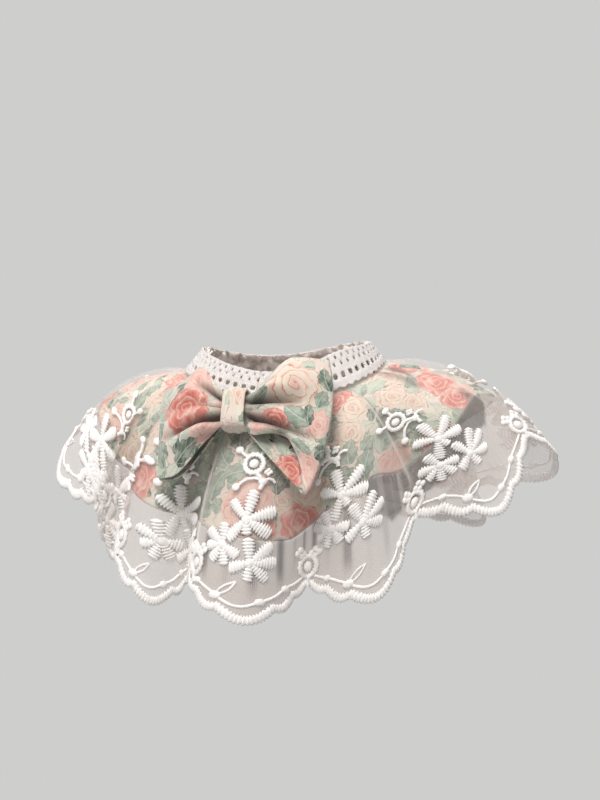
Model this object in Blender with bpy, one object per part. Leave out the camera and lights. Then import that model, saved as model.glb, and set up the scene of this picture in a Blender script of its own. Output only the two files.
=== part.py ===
"""Lace bib collar: a printed cotton ruffle under a longer embroidered net ruffle,
both gathered into a crochet neckband, with a bow of the same print in front.

Units are metres in Blender; sizes below are millimetres and are scaled by MM.
The origin is the centre of the neck opening. -Y is the front, +X the wearer's
left (the right of a front view), +Z up. The collar keeps the hollow form that
it has when it is worn: neck and hem are open.
"""

import math

import bpy
import numpy as np

MM = 0.001

# --- driving sizes, mm -------------------------------------------------------
NECK_HALF_WIDTH = 41.0  # neckband, top edge, side to side
NECK_HALF_DEPTH = 37.0  # and front to back
BAND_FLARE = 8.0  # the band leans outwards this much ...
BAND_DROP = 10.0  # ... while it goes down this much
BAND_SLANT = math.hypot(BAND_FLARE, BAND_DROP)
BAND_WALL = 1.6
BAND_PICOT = 0.7  # the wavy lower edge of the crochet

RIM_MEAN, RIM_TILT, RIM_SADDLE = 2.9, 3.75, 5.1  # how the neck edge rises and dips
RIM_TILT_AT, RIM_SADDLE_AT = math.radians(71), math.radians(18)

REPEATS = 14  # scallops of embroidery round the hem
REPEAT_WIDTH = 68.0
RUFFLE_DROP = 110.0  # neck edge to the notch between two scallops
SCALLOP_DEPTH = 18.0
NET_WALL = 1.0
COTTON_WALL = 1.0
LAYER_GAP = 0.4
SEAM_GAP = 0.3
SEAM_START = 13.8  # the ruffles begin at the band, this far from its top
EDGE_BEAD_WIDTH = 4.0
EDGE_BEAD_RISE = 0.9

NECK_FOLLOWS_HEM = 0.45  # share of the hem's uneven spread that the neck seam has
GATHERS_PER_REPEAT = 3
GATHER_HEIGHT = 1.0
GATHER_FADE = 17.0

COLUMNS_PER_REPEAT = 12
COLUMNS = REPEATS * COLUMNS_PER_REPEAT

FLOWER_CLEARANCE = 1.1  # over the folds at front and back ...
SIDE_FLOWER_CLEARANCE = 0.7  # ... and where the ruffle spreads flatter, at the sides
SIDE_REPEATS = (0, 5, 6, 12, 13)
FLOWER_THICKNESS = 1.1
PETAL_GAP = 0.6

# Free corners of the bow's loops: side (+1 is +X), edge (+1 is up), reach from
# the knot and height over it, mm. The last one is folded down and forward.
BOW_CORNERS = ((-1, 1, 44, 20), (-1, -1, 42, 30), (1, 1, 38, 27), (1, -1, 31, 37))
BOW_SIDE_BULGE = 3.0
BOW_WALL = 1.2
PINCH_HALF_HEIGHT = 7.8  # of the bow, inside its knot
KNOT_HALF_WIDTH = 8.5
KNOT_HALF_HEIGHT = 11.5
KNOT_HALF_DEPTH = 7.0
KNOT_WALL = 1.3
BOW_CENTRE = (0.0, -65.5, -12.0)
BOW_LEAN = math.radians(34)  # top leans back on the ruffle
BOW_ROLL = math.radians(6)  # its left end in a front view hangs lower

# One row for each crest and valley of the ruffle, at the notch line: scallops
# counted along the hem, azimuth from the front in degrees, reach from the neck's
# axis and height, mm. Scallops 2 to 7 are the front, 8 to 14 the back.
FOLDS = (
    (0.00, -83, 105, -38),
    (0.50, -73, 107, -45),
    (1.00, -65, 96, -69),
    (1.30, -68, 90, -78),
    (1.50, -69, 85, -83),
    (1.70, -66, 81, -86),
    (2.00, -58, 86, -88),
    (2.45, -36, 81, -93),
    (2.85, -30, 64, -96),
    (3.05, -23, 69, -96),
    (3.50, 6, 85, -92),
    (4.00, 28, 61, -97),
    (4.50, 50, 80, -85),
    (5.00, 71, 79, -67),
    (5.25, 78, 93, -56),
    (5.50, 84, 107, -50),
    (6.00, 97, 121, -33),
    (6.50, 111, 127, -46),
    (7.00, 122, 98, -68),
    (7.45, 134, 113, -81),
    (7.95, 145, 85, -84),
    (8.45, 157, 114, -86),
    (8.95, 169, 81, -89),
    (9.45, 180, 109, -87),
    (9.95, 191, 83, -88),
    (10.45, 202, 111, -89),
    (10.95, 214, 81, -85),
    (11.45, 226, 108, -82),
    (11.95, 236, 83, -79),
    (12.45, 247, 109, -71),
    (12.95, 257, 81, -67),
    (13.50, 266, 95, -54),
)

# Arcs of one half scallop, from the notch to its middle: where each arc starts,
# as a share of the repeat, and how far it swells, mm.
SCALLOP_ARCS = ((0.0, 2.2), (0.17, 2.6), (0.335, 4.0))
SCALLOP_MIDDLE_CUSP = 0.665

# Flowers of one repeat, mm: across from the notch, up from the notch line,
# radius, petals, turn of the first petal in degrees.
FLOWERS = (
    (31.3, 29.0, 14.0, 8, -79.3),
    (17.0, 19.0, 10.5, 7, -24.3),
    (34.7, 11.0, 12.5, 7, 100.7),
)
# Petals that meet: flower, petal, other flower, other petal.
PETAL_LINKS = ((2, 0, 0, 0), (2, 1, 1, 0))

# Length of the cotton ruffle: scallop where it is measured, and mm from the neck.
COTTON_HEM = ((0.3, 82), (1.6, 79), (3.0, 85), (3.9, 84), (4.7, 74), (6.0, 75), (9.0, 77), (12.0, 76))


# --- curves ------------------------------------------------------------------
def periodic_spline(knots, values, at, period):
    """Smooth closed curve through values at the knots, evaluated at `at`."""
    knots, values = np.asarray(knots, float), np.asarray(values, float)
    count = len(knots)
    step = np.diff(np.append(knots, knots[0] + period))
    before = np.roll(step, 1)
    system = np.zeros((count, count))
    for i in range(count):
        system[i, i] = 2 * (step[i] + before[i])
        system[i, (i + 1) % count] += step[i]
        system[i, (i - 1) % count] += before[i]
    rise = (np.roll(values, -1, 0) - values) / step[:, None]
    bend = np.linalg.solve(system, 6 * (rise - np.roll(rise, 1, 0)))
    at = np.mod(np.asarray(at, float) - knots[0], period) + knots[0]
    i = np.clip(np.searchsorted(knots, at, side="right") - 1, 0, count - 1)
    j = (i + 1) % count
    after = (at - knots[i]) / step[i]
    left = 1 - after
    return (
        left[:, None] * values[i]
        + after[:, None] * values[j]
        + ((left**3 - left)[:, None] * bend[i] + (after**3 - after)[:, None] * bend[j])
        * (step[i] ** 2 / 6)[:, None]
    )


def fold_rows():
    """Knots of FOLDS, with azimuth as the lead over an even spread, in radians."""
    table = np.array(FOLDS, float)
    lead = np.radians(table[:, 1]) - 2 * np.pi * table[:, 0] / REPEATS
    return table[:, 0], np.column_stack([lead, table[:, 2], table[:, 3]])


KNOTS, ROWS = fold_rows()


def neck_lead_waves(waves=3):
    """Mean and first waves of the azimuth lead: how the neck edge feeds the hem."""
    s = np.arange(2800) * REPEATS / 2800
    lead = periodic_spline(KNOTS, ROWS, s, REPEATS)[:, 0]
    angle = 2 * np.pi * s / REPEATS
    return lead.mean(), [
        (m, 2 * (lead * np.cos(m * angle)).mean(), 2 * (lead * np.sin(m * angle)).mean())
        for m in range(1, waves + 1)
    ]


LEAD_MEAN, LEAD_WAVES = neck_lead_waves()


def neck_azimuth(s):
    angle = 2 * np.pi * s / REPEATS
    lead = sum(c * np.cos(m * angle) + d * np.sin(m * angle) for m, c, d in LEAD_WAVES)
    return LEAD_MEAN + angle + NECK_FOLLOWS_HEM * lead


def polar(azimuth, half_width, half_depth, height):
    return np.stack([half_width * np.sin(azimuth), -half_depth * np.cos(azimuth), height], -1)


def hem_point(s):
    lead, reach, height = np.moveaxis(
        periodic_spline(KNOTS, ROWS, s.ravel(), REPEATS).reshape(s.shape + (3,)), -1, 0
    )
    return polar(lead + 2 * np.pi * s / REPEATS, reach, reach, height)


def rim_height(azimuth):
    return (
        RIM_MEAN
        + RIM_TILT * np.cos(azimuth - RIM_TILT_AT)
        - RIM_SADDLE * np.cos(2 * (azimuth - RIM_SADDLE_AT))
    )


def band_point(azimuth, down):
    """Point of the neckband's inner face, `down` mm from its top edge."""
    share = down / BAND_SLANT
    return polar(
        azimuth,
        NECK_HALF_WIDTH + BAND_FLARE * share,
        NECK_HALF_DEPTH + BAND_FLARE * share,
        rim_height(azimuth) - BAND_DROP * share,
    )


def unit(v):
    return v / np.linalg.norm(v, axis=-1, keepdims=True)


def fall(s, down):
    """Point of the ruffle: s scallops along the hem, `down` mm from the neck edge."""
    s, down = np.broadcast_arrays(np.asarray(s, float), np.asarray(down, float))
    azimuth = neck_azimuth(s)
    seam = band_point(azimuth, BAND_SLANT)
    hem = hem_point(s)
    out = (hem - seam) * (1, 1, 0)
    sink = (hem - seam) * (0, 0, 1)
    span = np.linalg.norm(hem - seam, axis=-1, keepdims=True)
    radial = polar(azimuth, 1.0, 1.0, 0 * azimuth) * np.linalg.norm(out, axis=-1, keepdims=True)
    end = unit(0.35 * out + sink)
    first = seam + unit(radial + 0.15 * sink) * span * 0.37
    second = hem - end * span * 0.36
    t = np.clip((down - BAND_SLANT) / (RUFFLE_DROP - BAND_SLANT), 0, 1)[..., None]
    curve = (1 - t) ** 3 * seam + 3 * (1 - t) ** 2 * t * first + 3 * (1 - t) * t**2 * second + t**3 * hem
    under_band = band_point(azimuth, down)
    point = np.where(down[..., None] < BAND_SLANT, under_band, curve)
    return point + end * np.clip(down - RUFFLE_DROP, 0, None)[..., None]


def fall_normal(s, down, ds=0.01, dd=1.0):
    along = fall(s + ds, down) - fall(s - ds, down)
    below = fall(s, down + dd) - fall(s, down - dd)
    return unit(np.cross(below, along))


def gather(s, down):
    """Small puckers that run down from the neck seam."""
    start = np.clip((down - BAND_SLANT) / 6, 0, 1)
    uneven = 0.7 + 0.3 * np.sin(2 * np.pi * s * 5 / REPEATS + 1)
    fade = np.exp(-np.clip(down - 18, 0, None) / GATHER_FADE)
    return GATHER_HEIGHT * start * fade * uneven * np.sin(2 * np.pi * GATHERS_PER_REPEAT * s)


def on_ruffle(s, down, lift):
    """Ruffle point moved out by `lift` mm, with the gathers."""
    s, down = np.broadcast_arrays(np.asarray(s, float), np.asarray(down, float))
    lift = np.asarray(lift + gather(s, down))
    return fall(s, down) + fall_normal(s, down) * lift[..., None]


def scallop(s):
    """How far the hem reaches below the notch line, mm."""
    x = np.mod(s, 1.0)
    x = np.where(x > 0.5, 1 - x, x)
    starts = np.array([start for start, _ in SCALLOP_ARCS] + [SCALLOP_MIDDLE_CUSP])
    swell = np.array([height for _, height in SCALLOP_ARCS])
    arc = np.clip(np.searchsorted(starts, x, side="right") - 1, 0, len(swell) - 1)
    across = (x - starts[arc]) / (starts[arc + 1] - starts[arc])
    return 0.78 * SCALLOP_DEPTH * np.sin(np.pi * x) ** 1.2 + swell[arc] * np.sin(np.pi * across) ** 0.8


# --- meshes ------------------------------------------------------------------
def finish_mesh(name, points, faces, material):
    mesh = bpy.data.meshes.new(name)
    mesh.from_pydata([tuple(p) for p in np.asarray(points) * MM], [], faces)
    mesh.validate()
    mesh.shade_smooth()
    mesh.set_sharp_from_angle(angle=math.radians(40))
    mesh.materials.append(material)
    obj = bpy.data.objects.new(name, mesh)
    bpy.context.collection.objects.link(obj)
    return obj


def closed_strip(name, outer, inner, material):
    """Solid between two sheets of points, rows x columns, closed along the columns.

    Quads are cut by the same diagonal in each sheet, so that sheets which lie on
    one another stay parallel.
    """
    rows, columns = outer.shape[:2]
    points = np.concatenate([outer.reshape(-1, 3), inner.reshape(-1, 3)])

    def at(side, row, column):
        return side * rows * columns + row * columns + column % columns

    faces = []

    def quad(a, b, c, d):
        faces.extend([(a, b, c), (a, c, d)])

    for i in range(columns):
        for j in range(rows - 1):
            quad(at(0, j, i), at(0, j + 1, i), at(0, j + 1, i + 1), at(0, j, i + 1))
            a, b, c, d = at(1, j, i), at(1, j + 1, i), at(1, j + 1, i + 1), at(1, j, i + 1)
            faces.extend([(a, c, b), (a, d, c)])
        quad(at(0, 0, i), at(0, 0, i + 1), at(1, 0, i + 1), at(1, 0, i))
        last = rows - 1
        quad(at(0, last, i), at(1, last, i), at(1, last, i + 1), at(0, last, i + 1))
    return finish_mesh(name, points, faces, material)


def plate(name, flat, faces, place, material):
    """Solid from a flat outline mesh; place(flat, level) gives each side's points."""
    count = len(flat)
    points = np.concatenate([place(flat, 1), place(flat, 0)])
    solid = [tuple(face) for face in faces]
    solid += [tuple(count + i for i in reversed(face)) for face in faces]
    directed = {(f[i], f[(i + 1) % len(f)]) for f in faces for i in range(len(f))}
    for a, b in sorted(directed):
        if (b, a) not in directed:
            solid.append((a, a + count, b + count, b))
    return finish_mesh(name, points, solid, material)


def material(name, colour, roughness, alpha=1.0):
    made = bpy.data.materials.new(name)
    made.use_nodes = True
    shader = made.node_tree.nodes["Principled BSDF"]
    shader.inputs["Base Color"].default_value = (*colour, 1)
    shader.inputs["Roughness"].default_value = roughness
    shader.inputs["Metallic"].default_value = 0
    shader.inputs["Alpha"].default_value = alpha
    return made


# --- pieces ------------------------------------------------------------------
def ruffle_columns():
    return np.arange(COLUMNS) / COLUMNS_PER_REPEAT


NET_ROWS = (SEAM_START, 22, 36, 52, 70, 88, 103)  # mm from the neck edge


def net_downs(s):
    """Rows of the net ruffle, rows x columns, mm from the neck edge."""
    depth = scallop(s)
    hem = RUFFLE_DROP + depth
    downs = [np.full_like(s, row) for row in NET_ROWS[:-1]]
    downs.append(NET_ROWS[-1] + 0.8 * depth)
    downs += [hem - EDGE_BEAD_WIDTH, hem]
    return np.array(downs)


def build_net_ruffle(cloth):
    s = ruffle_columns()
    downs = net_downs(s)
    lift = np.zeros(len(downs))
    lift[-2:] = EDGE_BEAD_RISE
    outer = np.array([on_ruffle(s, down, up) for down, up in zip(downs, lift)])
    inner = np.array([on_ruffle(s, down, -NET_WALL) for down in downs])
    return closed_strip("net_ruffle", outer, inner, cloth)


def cotton_hem(s):
    table = np.array(COTTON_HEM, float)
    return periodic_spline(table[:, 0], table[:, 1:], s, REPEATS)[:, 0]


def build_cotton_ruffle(cloth):
    """Same columns and rows as the net, and cut off between two of the net's rows."""
    s = ruffle_columns()
    full, cut = NET_ROWS[4], NET_ROWS[5]
    share = ((cotton_hem(s) - full) / (cut - full))[:, None]

    def sheet(lift):
        rows = [on_ruffle(s, np.full_like(s, row), lift) for row in NET_ROWS[:6]]
        rows[5] = rows[4] + (rows[5] - rows[4]) * share
        return np.array(rows)

    top = -(NET_WALL + LAYER_GAP)
    return closed_strip("cotton_ruffle", sheet(top), sheet(top - COTTON_WALL), cloth)


def build_neckband(cotton):
    columns = 84
    azimuth = np.arange(columns) * 2 * np.pi / columns
    picot = BAND_PICOT * (1 - 2 * (np.arange(columns) % 2))
    downs = [np.full(columns, d) for d in (-1.0, 4.0, 9.0)] + [BAND_SLANT - 0.4 + picot]

    def sheet(lift):
        out = polar(azimuth, 1.0, 1.0, BAND_FLARE / BAND_DROP + 0 * azimuth)
        return np.array([band_point(azimuth, down) + unit(out) * lift for down in downs])

    return closed_strip("crochet_neckband", sheet(SEAM_GAP + BAND_WALL), sheet(SEAM_GAP), cotton)


def petal_reach(flower, angle):
    """Length of a petal: its flower's radius, or less, so that it ends at a neighbour."""
    x, y, radius = FLOWERS[flower][:3]
    reach = radius
    for j, other in enumerate(FLOWERS):
        distance = math.hypot(other[0] - x, other[1] - y)
        facing = math.cos(angle - math.atan2(other[1] - y, other[0] - x))
        if j != flower and facing > 0.05:
            reach = min(reach, (distance / 2 - PETAL_GAP) / facing)
    return reach


def flower_outline():
    """Flat mesh of one repeat's flowers, joined where their petals meet."""
    centres = np.array([flower[:2] for flower in FLOWERS])
    points, faces, tips = [], [], []
    links = {}
    for one, petal, other, other_petal in PETAL_LINKS:
        links[one, petal] = other
        links[other, other_petal] = one

    def add(centre, radius, angle):
        points.append(centre + radius * np.array([math.cos(angle), math.sin(angle)]))
        return len(points) - 1

    for i, (_, _, radius, petals, turn) in enumerate(FLOWERS):
        centre = centres[i]
        angles = [math.radians(turn) + 2 * math.pi * k / petals for k in range(petals)]
        for (one, petal), other in links.items():
            if one == i:
                towards = centres[other] - centre
                angle = math.atan2(towards[1], towards[0])
                angles[petal] = angle + 2 * math.pi * round((angles[petal] - angle) / (2 * math.pi))
        middle = add(centre, 0, 0)
        notches = []
        for k in range(petals):
            following = angles[(k + 1) % petals] + (2 * math.pi if k + 1 == petals else 0)
            notches.append(add(centre, 0.42 * radius, (angles[k] + following) / 2))
        for k, angle in enumerate(angles):
            half = 0.17 * radius / petal_reach(i, angle)
            first, second = (
                add(centre, petal_reach(i, corner), corner) for corner in (angle - half, angle + half)
            )
            before = notches[k - 1]
            faces += [(middle, before, notches[k]), (before, first, second, notches[k])]
            tips.append(((i, k), (first, second)))
    ends = dict(tips)
    for one, petal, other, other_petal in PETAL_LINKS:
        (a, b), (c, d) = ends[one, petal], ends[other, other_petal]
        faces.append((b, a, d, c))
    return np.array(points), faces


def build_flower_cluster(number, flat, faces, thread):
    clearance = SIDE_FLOWER_CLEARANCE if number in SIDE_REPEATS else FLOWER_CLEARANCE

    def place(points, level):
        s = number + points[:, 0] / REPEAT_WIDTH
        down = RUFFLE_DROP - points[:, 1]
        return on_ruffle(s, down, clearance + level * FLOWER_THICKNESS)

    return plate(f"flower_cluster_{number + 1:02d}", flat, faces, place, thread)


def bow_place(points):
    """Bow's own x (along), v (up), w (out) to the collar's frame."""
    x, v, w = np.moveaxis(points, -1, 0)
    x, v = (
        x * math.cos(BOW_ROLL) - v * math.sin(BOW_ROLL),
        x * math.sin(BOW_ROLL) + v * math.cos(BOW_ROLL),
    )
    up = (0, math.sin(BOW_LEAN), math.cos(BOW_LEAN))
    out = (0, -math.cos(BOW_LEAN), math.sin(BOW_LEAN))
    return np.stack(
        [BOW_CENTRE[0] + x] + [BOW_CENTRE[k] + v * up[k] + w * out[k] for k in (1, 2)], -1
    )


def smooth_step(x):
    x = np.clip(x, 0, 1)
    return x * x * (3 - 2 * x)


def bow_corner(x, v):
    """Reach and height of the bow's loop on the side of x, at v from -1 to 1."""
    table = {(side, edge): (reach, height) for side, edge, reach, height in BOW_CORNERS}
    upper, lower = (
        np.where(x[..., None] < 0, table[-1, edge], table[1, edge]) for edge in (1, -1)
    )
    share = np.clip((1 + v) / 2, 0, 1)[..., None] ** 0.7
    reach = (lower + (upper - lower) * share)[..., 0] + BOW_SIDE_BULGE * (1 - v**2)
    height = np.where(v > 0, upper[..., 1], lower[..., 1])
    return reach, height


def bow_loop_point(turn, v):
    """Mid-wall point of the flattened tube: turn 0 to 1 goes round it, v is -1 to 1."""
    turn, v = np.broadcast_arrays(turn, v)
    angle = 2 * np.pi * turn
    along = np.sign(np.cos(angle)) * np.abs(np.cos(angle)) ** 0.8
    reach, height = bow_corner(along, v)
    x = along * reach
    far = np.abs(x)
    opened = smooth_step((far - KNOT_HALF_WIDTH) / 26)
    puff = smooth_step((far - 6) / 16) * (1 - 0.45 * smooth_step((far - 24) / 21))
    half_height = PINCH_HALF_HEIGHT + (height - PINCH_HALF_HEIGHT) * opened
    depth = (1.6 + 5.0 * puff) * (1 - 0.4 * (1 - opened) * v**4)
    side = np.sign(np.sin(angle)) * np.abs(np.sin(angle)) ** 0.55
    ripple = np.cos(2 * np.pi * v) * (0.9 + 1.7 * puff)
    bend = -(far**2) / 210
    w = side * depth - ripple * (0.6 + 0.4 * side) * np.abs(side) + bend
    return np.stack(np.broadcast_arrays(x, v * half_height, w), -1)


def build_bow_loops(cloth):
    columns, rows = 32, 9
    turn = 1 - (np.arange(columns) + 0.5)[None, :] / columns
    v = np.linspace(1, -1, rows)[:, None]
    middle = bow_loop_point(turn, v)
    around = bow_loop_point(turn + 0.004, v) - bow_loop_point(turn - 0.004, v)
    down = bow_loop_point(turn, v - 0.01) - bow_loop_point(turn, v + 0.01)
    normal = unit(np.cross(around, down))
    outer, inner = middle + normal * BOW_WALL / 2, middle - normal * BOW_WALL / 2
    return closed_strip("bow_loops", bow_place(outer), bow_place(inner), cloth)


def build_bow_knot(cloth):
    """Band round the bow's middle, its rim a rounded rectangle."""
    columns = 20
    angle = np.arange(columns) * 2 * np.pi / columns
    xs = (-KNOT_HALF_WIDTH, -KNOT_HALF_WIDTH * 0.45, KNOT_HALF_WIDTH * 0.45, KNOT_HALF_WIDTH)
    crown = (-0.5, 0.3, 0.3, -0.5)

    def ring(x, grow):
        v = np.sign(np.sin(angle)) * np.abs(np.sin(angle)) ** 0.5 * (KNOT_HALF_HEIGHT + grow)
        w = np.sign(np.cos(angle)) * np.abs(np.cos(angle)) ** 0.5 * (KNOT_HALF_DEPTH + grow)
        return np.stack([np.full(columns, x), v, w], -1)

    outer = np.array([ring(x, rise) for x, rise in zip(xs, crown)])
    inner = np.array([ring(x, -KNOT_WALL + min(rise, 0)) for x, rise in zip(xs, crown)])
    return closed_strip("bow_knot", bow_place(outer), bow_place(inner), cloth)


def main():
    for obj in list(bpy.data.objects):
        bpy.data.objects.remove(obj)
    net = material("net", (0.80, 0.75, 0.72), 0.8, alpha=0.55)
    print_cotton = material("printed_cotton", (0.82, 0.66, 0.58), 0.85)
    crochet = material("crochet_cotton", (0.86, 0.82, 0.78), 0.9)
    thread = material("satin_thread", (0.92, 0.89, 0.86), 0.5)
    build_neckband(crochet)
    build_net_ruffle(net)
    build_cotton_ruffle(print_cotton)
    flat, faces = flower_outline()
    for number in range(REPEATS):
        build_flower_cluster(number, flat, faces, thread)
    build_bow_loops(print_cotton)
    build_bow_knot(print_cotton)


main()
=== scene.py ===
# %% [markdown]
# # A lace bib collar
# The real thing is a small slip-on collar: a crochet neckband, a gathered ruffle of
# printed cotton, a longer ruffle of sheer net over it with a scalloped, embroidered
# edge, and a bow of the same print in front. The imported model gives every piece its
# place. Here each plain solid gets the cloth, the stitches and the light that show.

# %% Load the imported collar
import math

import bpy
import numpy as np
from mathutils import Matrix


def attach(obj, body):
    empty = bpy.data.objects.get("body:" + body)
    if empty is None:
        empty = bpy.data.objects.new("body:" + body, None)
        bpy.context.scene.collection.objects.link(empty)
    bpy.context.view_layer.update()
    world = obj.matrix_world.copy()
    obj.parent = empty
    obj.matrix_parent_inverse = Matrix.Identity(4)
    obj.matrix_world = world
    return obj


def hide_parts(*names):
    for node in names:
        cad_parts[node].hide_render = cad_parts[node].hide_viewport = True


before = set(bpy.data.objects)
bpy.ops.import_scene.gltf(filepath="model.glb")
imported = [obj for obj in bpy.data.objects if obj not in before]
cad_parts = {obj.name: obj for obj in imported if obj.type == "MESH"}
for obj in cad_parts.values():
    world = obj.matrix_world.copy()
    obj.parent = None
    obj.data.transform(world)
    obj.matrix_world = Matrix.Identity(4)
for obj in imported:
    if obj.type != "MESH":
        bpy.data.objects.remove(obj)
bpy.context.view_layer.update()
bpy.ops.object.select_all(action="DESELECT")
MM = 0.001  # sizes below are millimetres, and meshes are in metres
TAU = math.tau  # radians in a full turn
print("solids:", len(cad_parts))

# %% [markdown]
# ## Camera, light and backdrop
# The collar was photographed from a little to its left side and a little above. A
# long lens keeps the folds from being stretched. The collar floats in an even pale
# studio, so the floor and the sky are one plain grey. Only lamps and a soft sky
# above give it shape: a lamp from above in front, a weaker one from the left to
# fill, and a third from above.

# %% Camera
VIEW_TURN, VIEW_RISE, VIEW_DISTANCE = math.radians(18), math.radians(10), 1.0
towards_camera = (
    math.sin(VIEW_TURN) * math.cos(VIEW_RISE),
    -math.cos(VIEW_TURN) * math.cos(VIEW_RISE),
    math.sin(VIEW_RISE),
)
bpy.ops.object.camera_add(
    location=[VIEW_DISTANCE * part for part in towards_camera],
    rotation=(math.pi / 2 - VIEW_RISE, 0, VIEW_TURN),
)
camera = bpy.context.object
camera.data.lens = 90
camera.data.shift_x, camera.data.shift_y = 0.01875, -0.0475
camera.data.clip_start = 0.05
bpy.context.scene.camera = camera
print("camera", [round(part, 3) for part in camera.location])


# %% [markdown]
# Every colour here is a formula of nodes. A few helpers keep such formulas short. What
# a node gives is a Value, and with it plus, minus, times and the like add Math nodes,
# so that a formula reads as it would on paper.

# %% Node helpers
def paint(red, green, blue):
    """A colour picked as 0 to 255 values, as the linear one that a shader takes."""
    return tuple(
        (part / 255 / 12.92) if part <= 10 else ((part / 255 + 0.055) / 1.055) ** 2.4
        for part in (red, green, blue)
    ) + (1.0,)


class Value:
    """What a node gives; with it plus, minus, times and the like add Math nodes."""

    def __init__(self, socket):
        self.socket = socket

    def __add__(self, other):
        return maths("ADD", self, other)

    def __sub__(self, other):
        return maths("SUBTRACT", self, other)

    def __rsub__(self, other):
        return maths("SUBTRACT", other, self)

    def __mul__(self, other):
        return maths("MULTIPLY", self, other)

    def __truediv__(self, other):
        return maths("DIVIDE", self, other)

    def __rtruediv__(self, other):
        return maths("DIVIDE", other, self)

    def __gt__(self, other):
        return maths("GREATER_THAN", self, other)

    def __lt__(self, other):
        return maths("LESS_THAN", self, other)

    def __abs__(self):
        return maths("ABSOLUTE", self)


def tree_of(*values):
    """The node tree of the first Value among some numbers and Values."""
    return next(value.socket.id_data for value in values if isinstance(value, Value))


def put(tree, kind, links=None, **settings):
    """Adds a node, sets it, and fills its inputs with numbers or what other nodes give."""
    node = tree.nodes.new("ShaderNode" + kind)
    for key, value in settings.items():
        setattr(node, key, value)
    for key, value in (links or {}).items():
        if isinstance(value, Value):
            tree.links.new(value.socket, node.inputs[key])
        else:
            node.inputs[key].default_value = value
    return node


def get(tree, kind, links=None, output=0, **settings):
    """Adds a node and gives one of its outputs as a Value."""
    return Value(put(tree, kind, links, **settings).outputs[output])


def give(socket, value):
    """Leads a Value into an input that is there already."""
    socket.id_data.links.new(value.socket, socket)


def maths(operation, *values, clamp=False):
    return get(tree_of(*values), "Math", dict(enumerate(values)), operation=operation, use_clamp=clamp)


def vector(operation, *values, output=0):
    return get(tree_of(*values), "VectorMath", dict(enumerate(values)), output, operation=operation)


def scaled(place, scale):
    return get(tree_of(place), "VectorMath", {0: place, "Scale": scale}, operation="SCALE")


def parts(place, kind="SeparateXYZ"):
    """The numbers that a place or a colour is made of."""
    return [Value(socket) for socket in put(tree_of(place), kind, {0: place}).outputs]


def blend(factor, one, other):
    """One colour where the factor is 0, and the other where it is 1."""
    return get(tree_of(factor), "Mix", {0: factor, 6: one, 7: other}, 2, data_type="RGBA")


def soft_step(value, low, high):
    """0 below low, 1 above high, and a soft rise between them."""
    ends = {0: value, 1: low, 2: high, 3: 0.0, 4: 1.0}
    return get(tree_of(value), "MapRange", ends, interpolation_type="SMOOTHSTEP")


def noise(place, scale, detail=2.0, **more):
    return get(tree_of(place), "TexNoise", {"Vector": place, "Scale": scale, "Detail": detail, **more})


# %% Studio
STUDIO_GREY = paint(206, 206, 205)


def plain_to_camera(tree, light, output):
    """The plain studio grey where the camera looks, and light for all else."""
    grey = "Background" if output == "OutputWorld" else "Emission"
    plain = get(tree, grey, {"Color": STUDIO_GREY, "Strength": 1.0})
    seen = get(tree, "LightPath", output="Is Camera Ray")
    put(tree, output, {0: get(tree, "MixShader", {0: seen, 1: light, 2: plain})})


world = bpy.data.worlds.new("studio")
world.use_nodes = True
bpy.context.scene.world = world
sky = world.node_tree
sky.nodes.clear()
height = parts(get(sky, "TexCoord", output="Generated"))[2]
glow = blend(soft_step(height, -0.6, 0.9), paint(150, 146, 143), paint(246, 247, 250))
plain_to_camera(sky, get(sky, "Background", {"Color": glow, "Strength": 0.52}), "OutputWorld")

bpy.ops.mesh.primitive_plane_add(size=30, location=(0, 0, -0.6))
floor = bpy.context.object
floor.name = "studio_floor"
floor_look = bpy.data.materials.new("studio_floor")
floor.data.materials.append(floor_look)
floor_look.use_nodes = True
tree = floor_look.node_tree
tree.nodes.clear()
plain_to_camera(tree, get(tree, "BsdfDiffuse", {"Color": paint(196, 194, 192)}), "OutputMaterial")
bpy.context.scene.view_settings.view_transform = "Standard"
print("floor at", floor.location.z)


# %% Lamps
def lamp(name, place, size, power, colour=(1, 1, 1)):
    bpy.ops.object.light_add(type="AREA", location=place)
    light = bpy.context.object
    light.name = name
    light.data.shape = "DISK"
    light.data.size, light.data.energy, light.data.color = size, power, colour
    light.rotation_euler = (-light.location).to_track_quat("-Z", "Y").to_euler()


lamp("key_lamp", (0.05, -1.0, 1.25), 0.7, 21.5, (1.0, 0.985, 0.965))
lamp("fill_lamp", (-1.15, -0.7, 0.3), 0.9, 4.0, (0.97, 0.98, 1.0))
lamp("top_lamp", (0.25, 0.4, 1.2), 0.6, 6.5, (1.0, 1.0, 1.0))

# %% [markdown]
# ## How the ruffles fall
# Both ruffles are one curved surface. A point on it is named by the scallop that it
# hangs over, counted round the hem, and by how far down from the neck edge it lies.
# A short table holds the folds of the hem: a row for each crest and valley. Between
# the neck seam and the hem the cloth falls in a smooth curve, out from the neck and
# then down. These are the same formulas as the solids have, so that cloth, stitches
# and print can all be laid on one surface.

# %% Sizes of the ruffles
NECK_HALF_WIDTH, NECK_HALF_DEPTH = 41.0, 37.0
BAND_FLARE, BAND_DROP, BAND_WALL = 8.0, 10.0, 1.6
BAND_SLANT = math.hypot(BAND_FLARE, BAND_DROP)
RIM_MEAN, RIM_TILT, RIM_SADDLE = 2.9, 3.75, 5.1
RIM_TILT_AT, RIM_SADDLE_AT = math.radians(71), math.radians(18)
REPEATS, REPEAT_WIDTH, RUFFLE_DROP = 14, 68.0, 110.0
SCALLOP_DEPTH, SEAM_START, SEAM_GAP = 18.0, 13.8, 0.3
NECK_FOLLOWS_HEM = 0.45
GATHERS_PER_REPEAT, GATHER_HEIGHT, GATHER_FADE = 3, 1.0, 17.0
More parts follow.
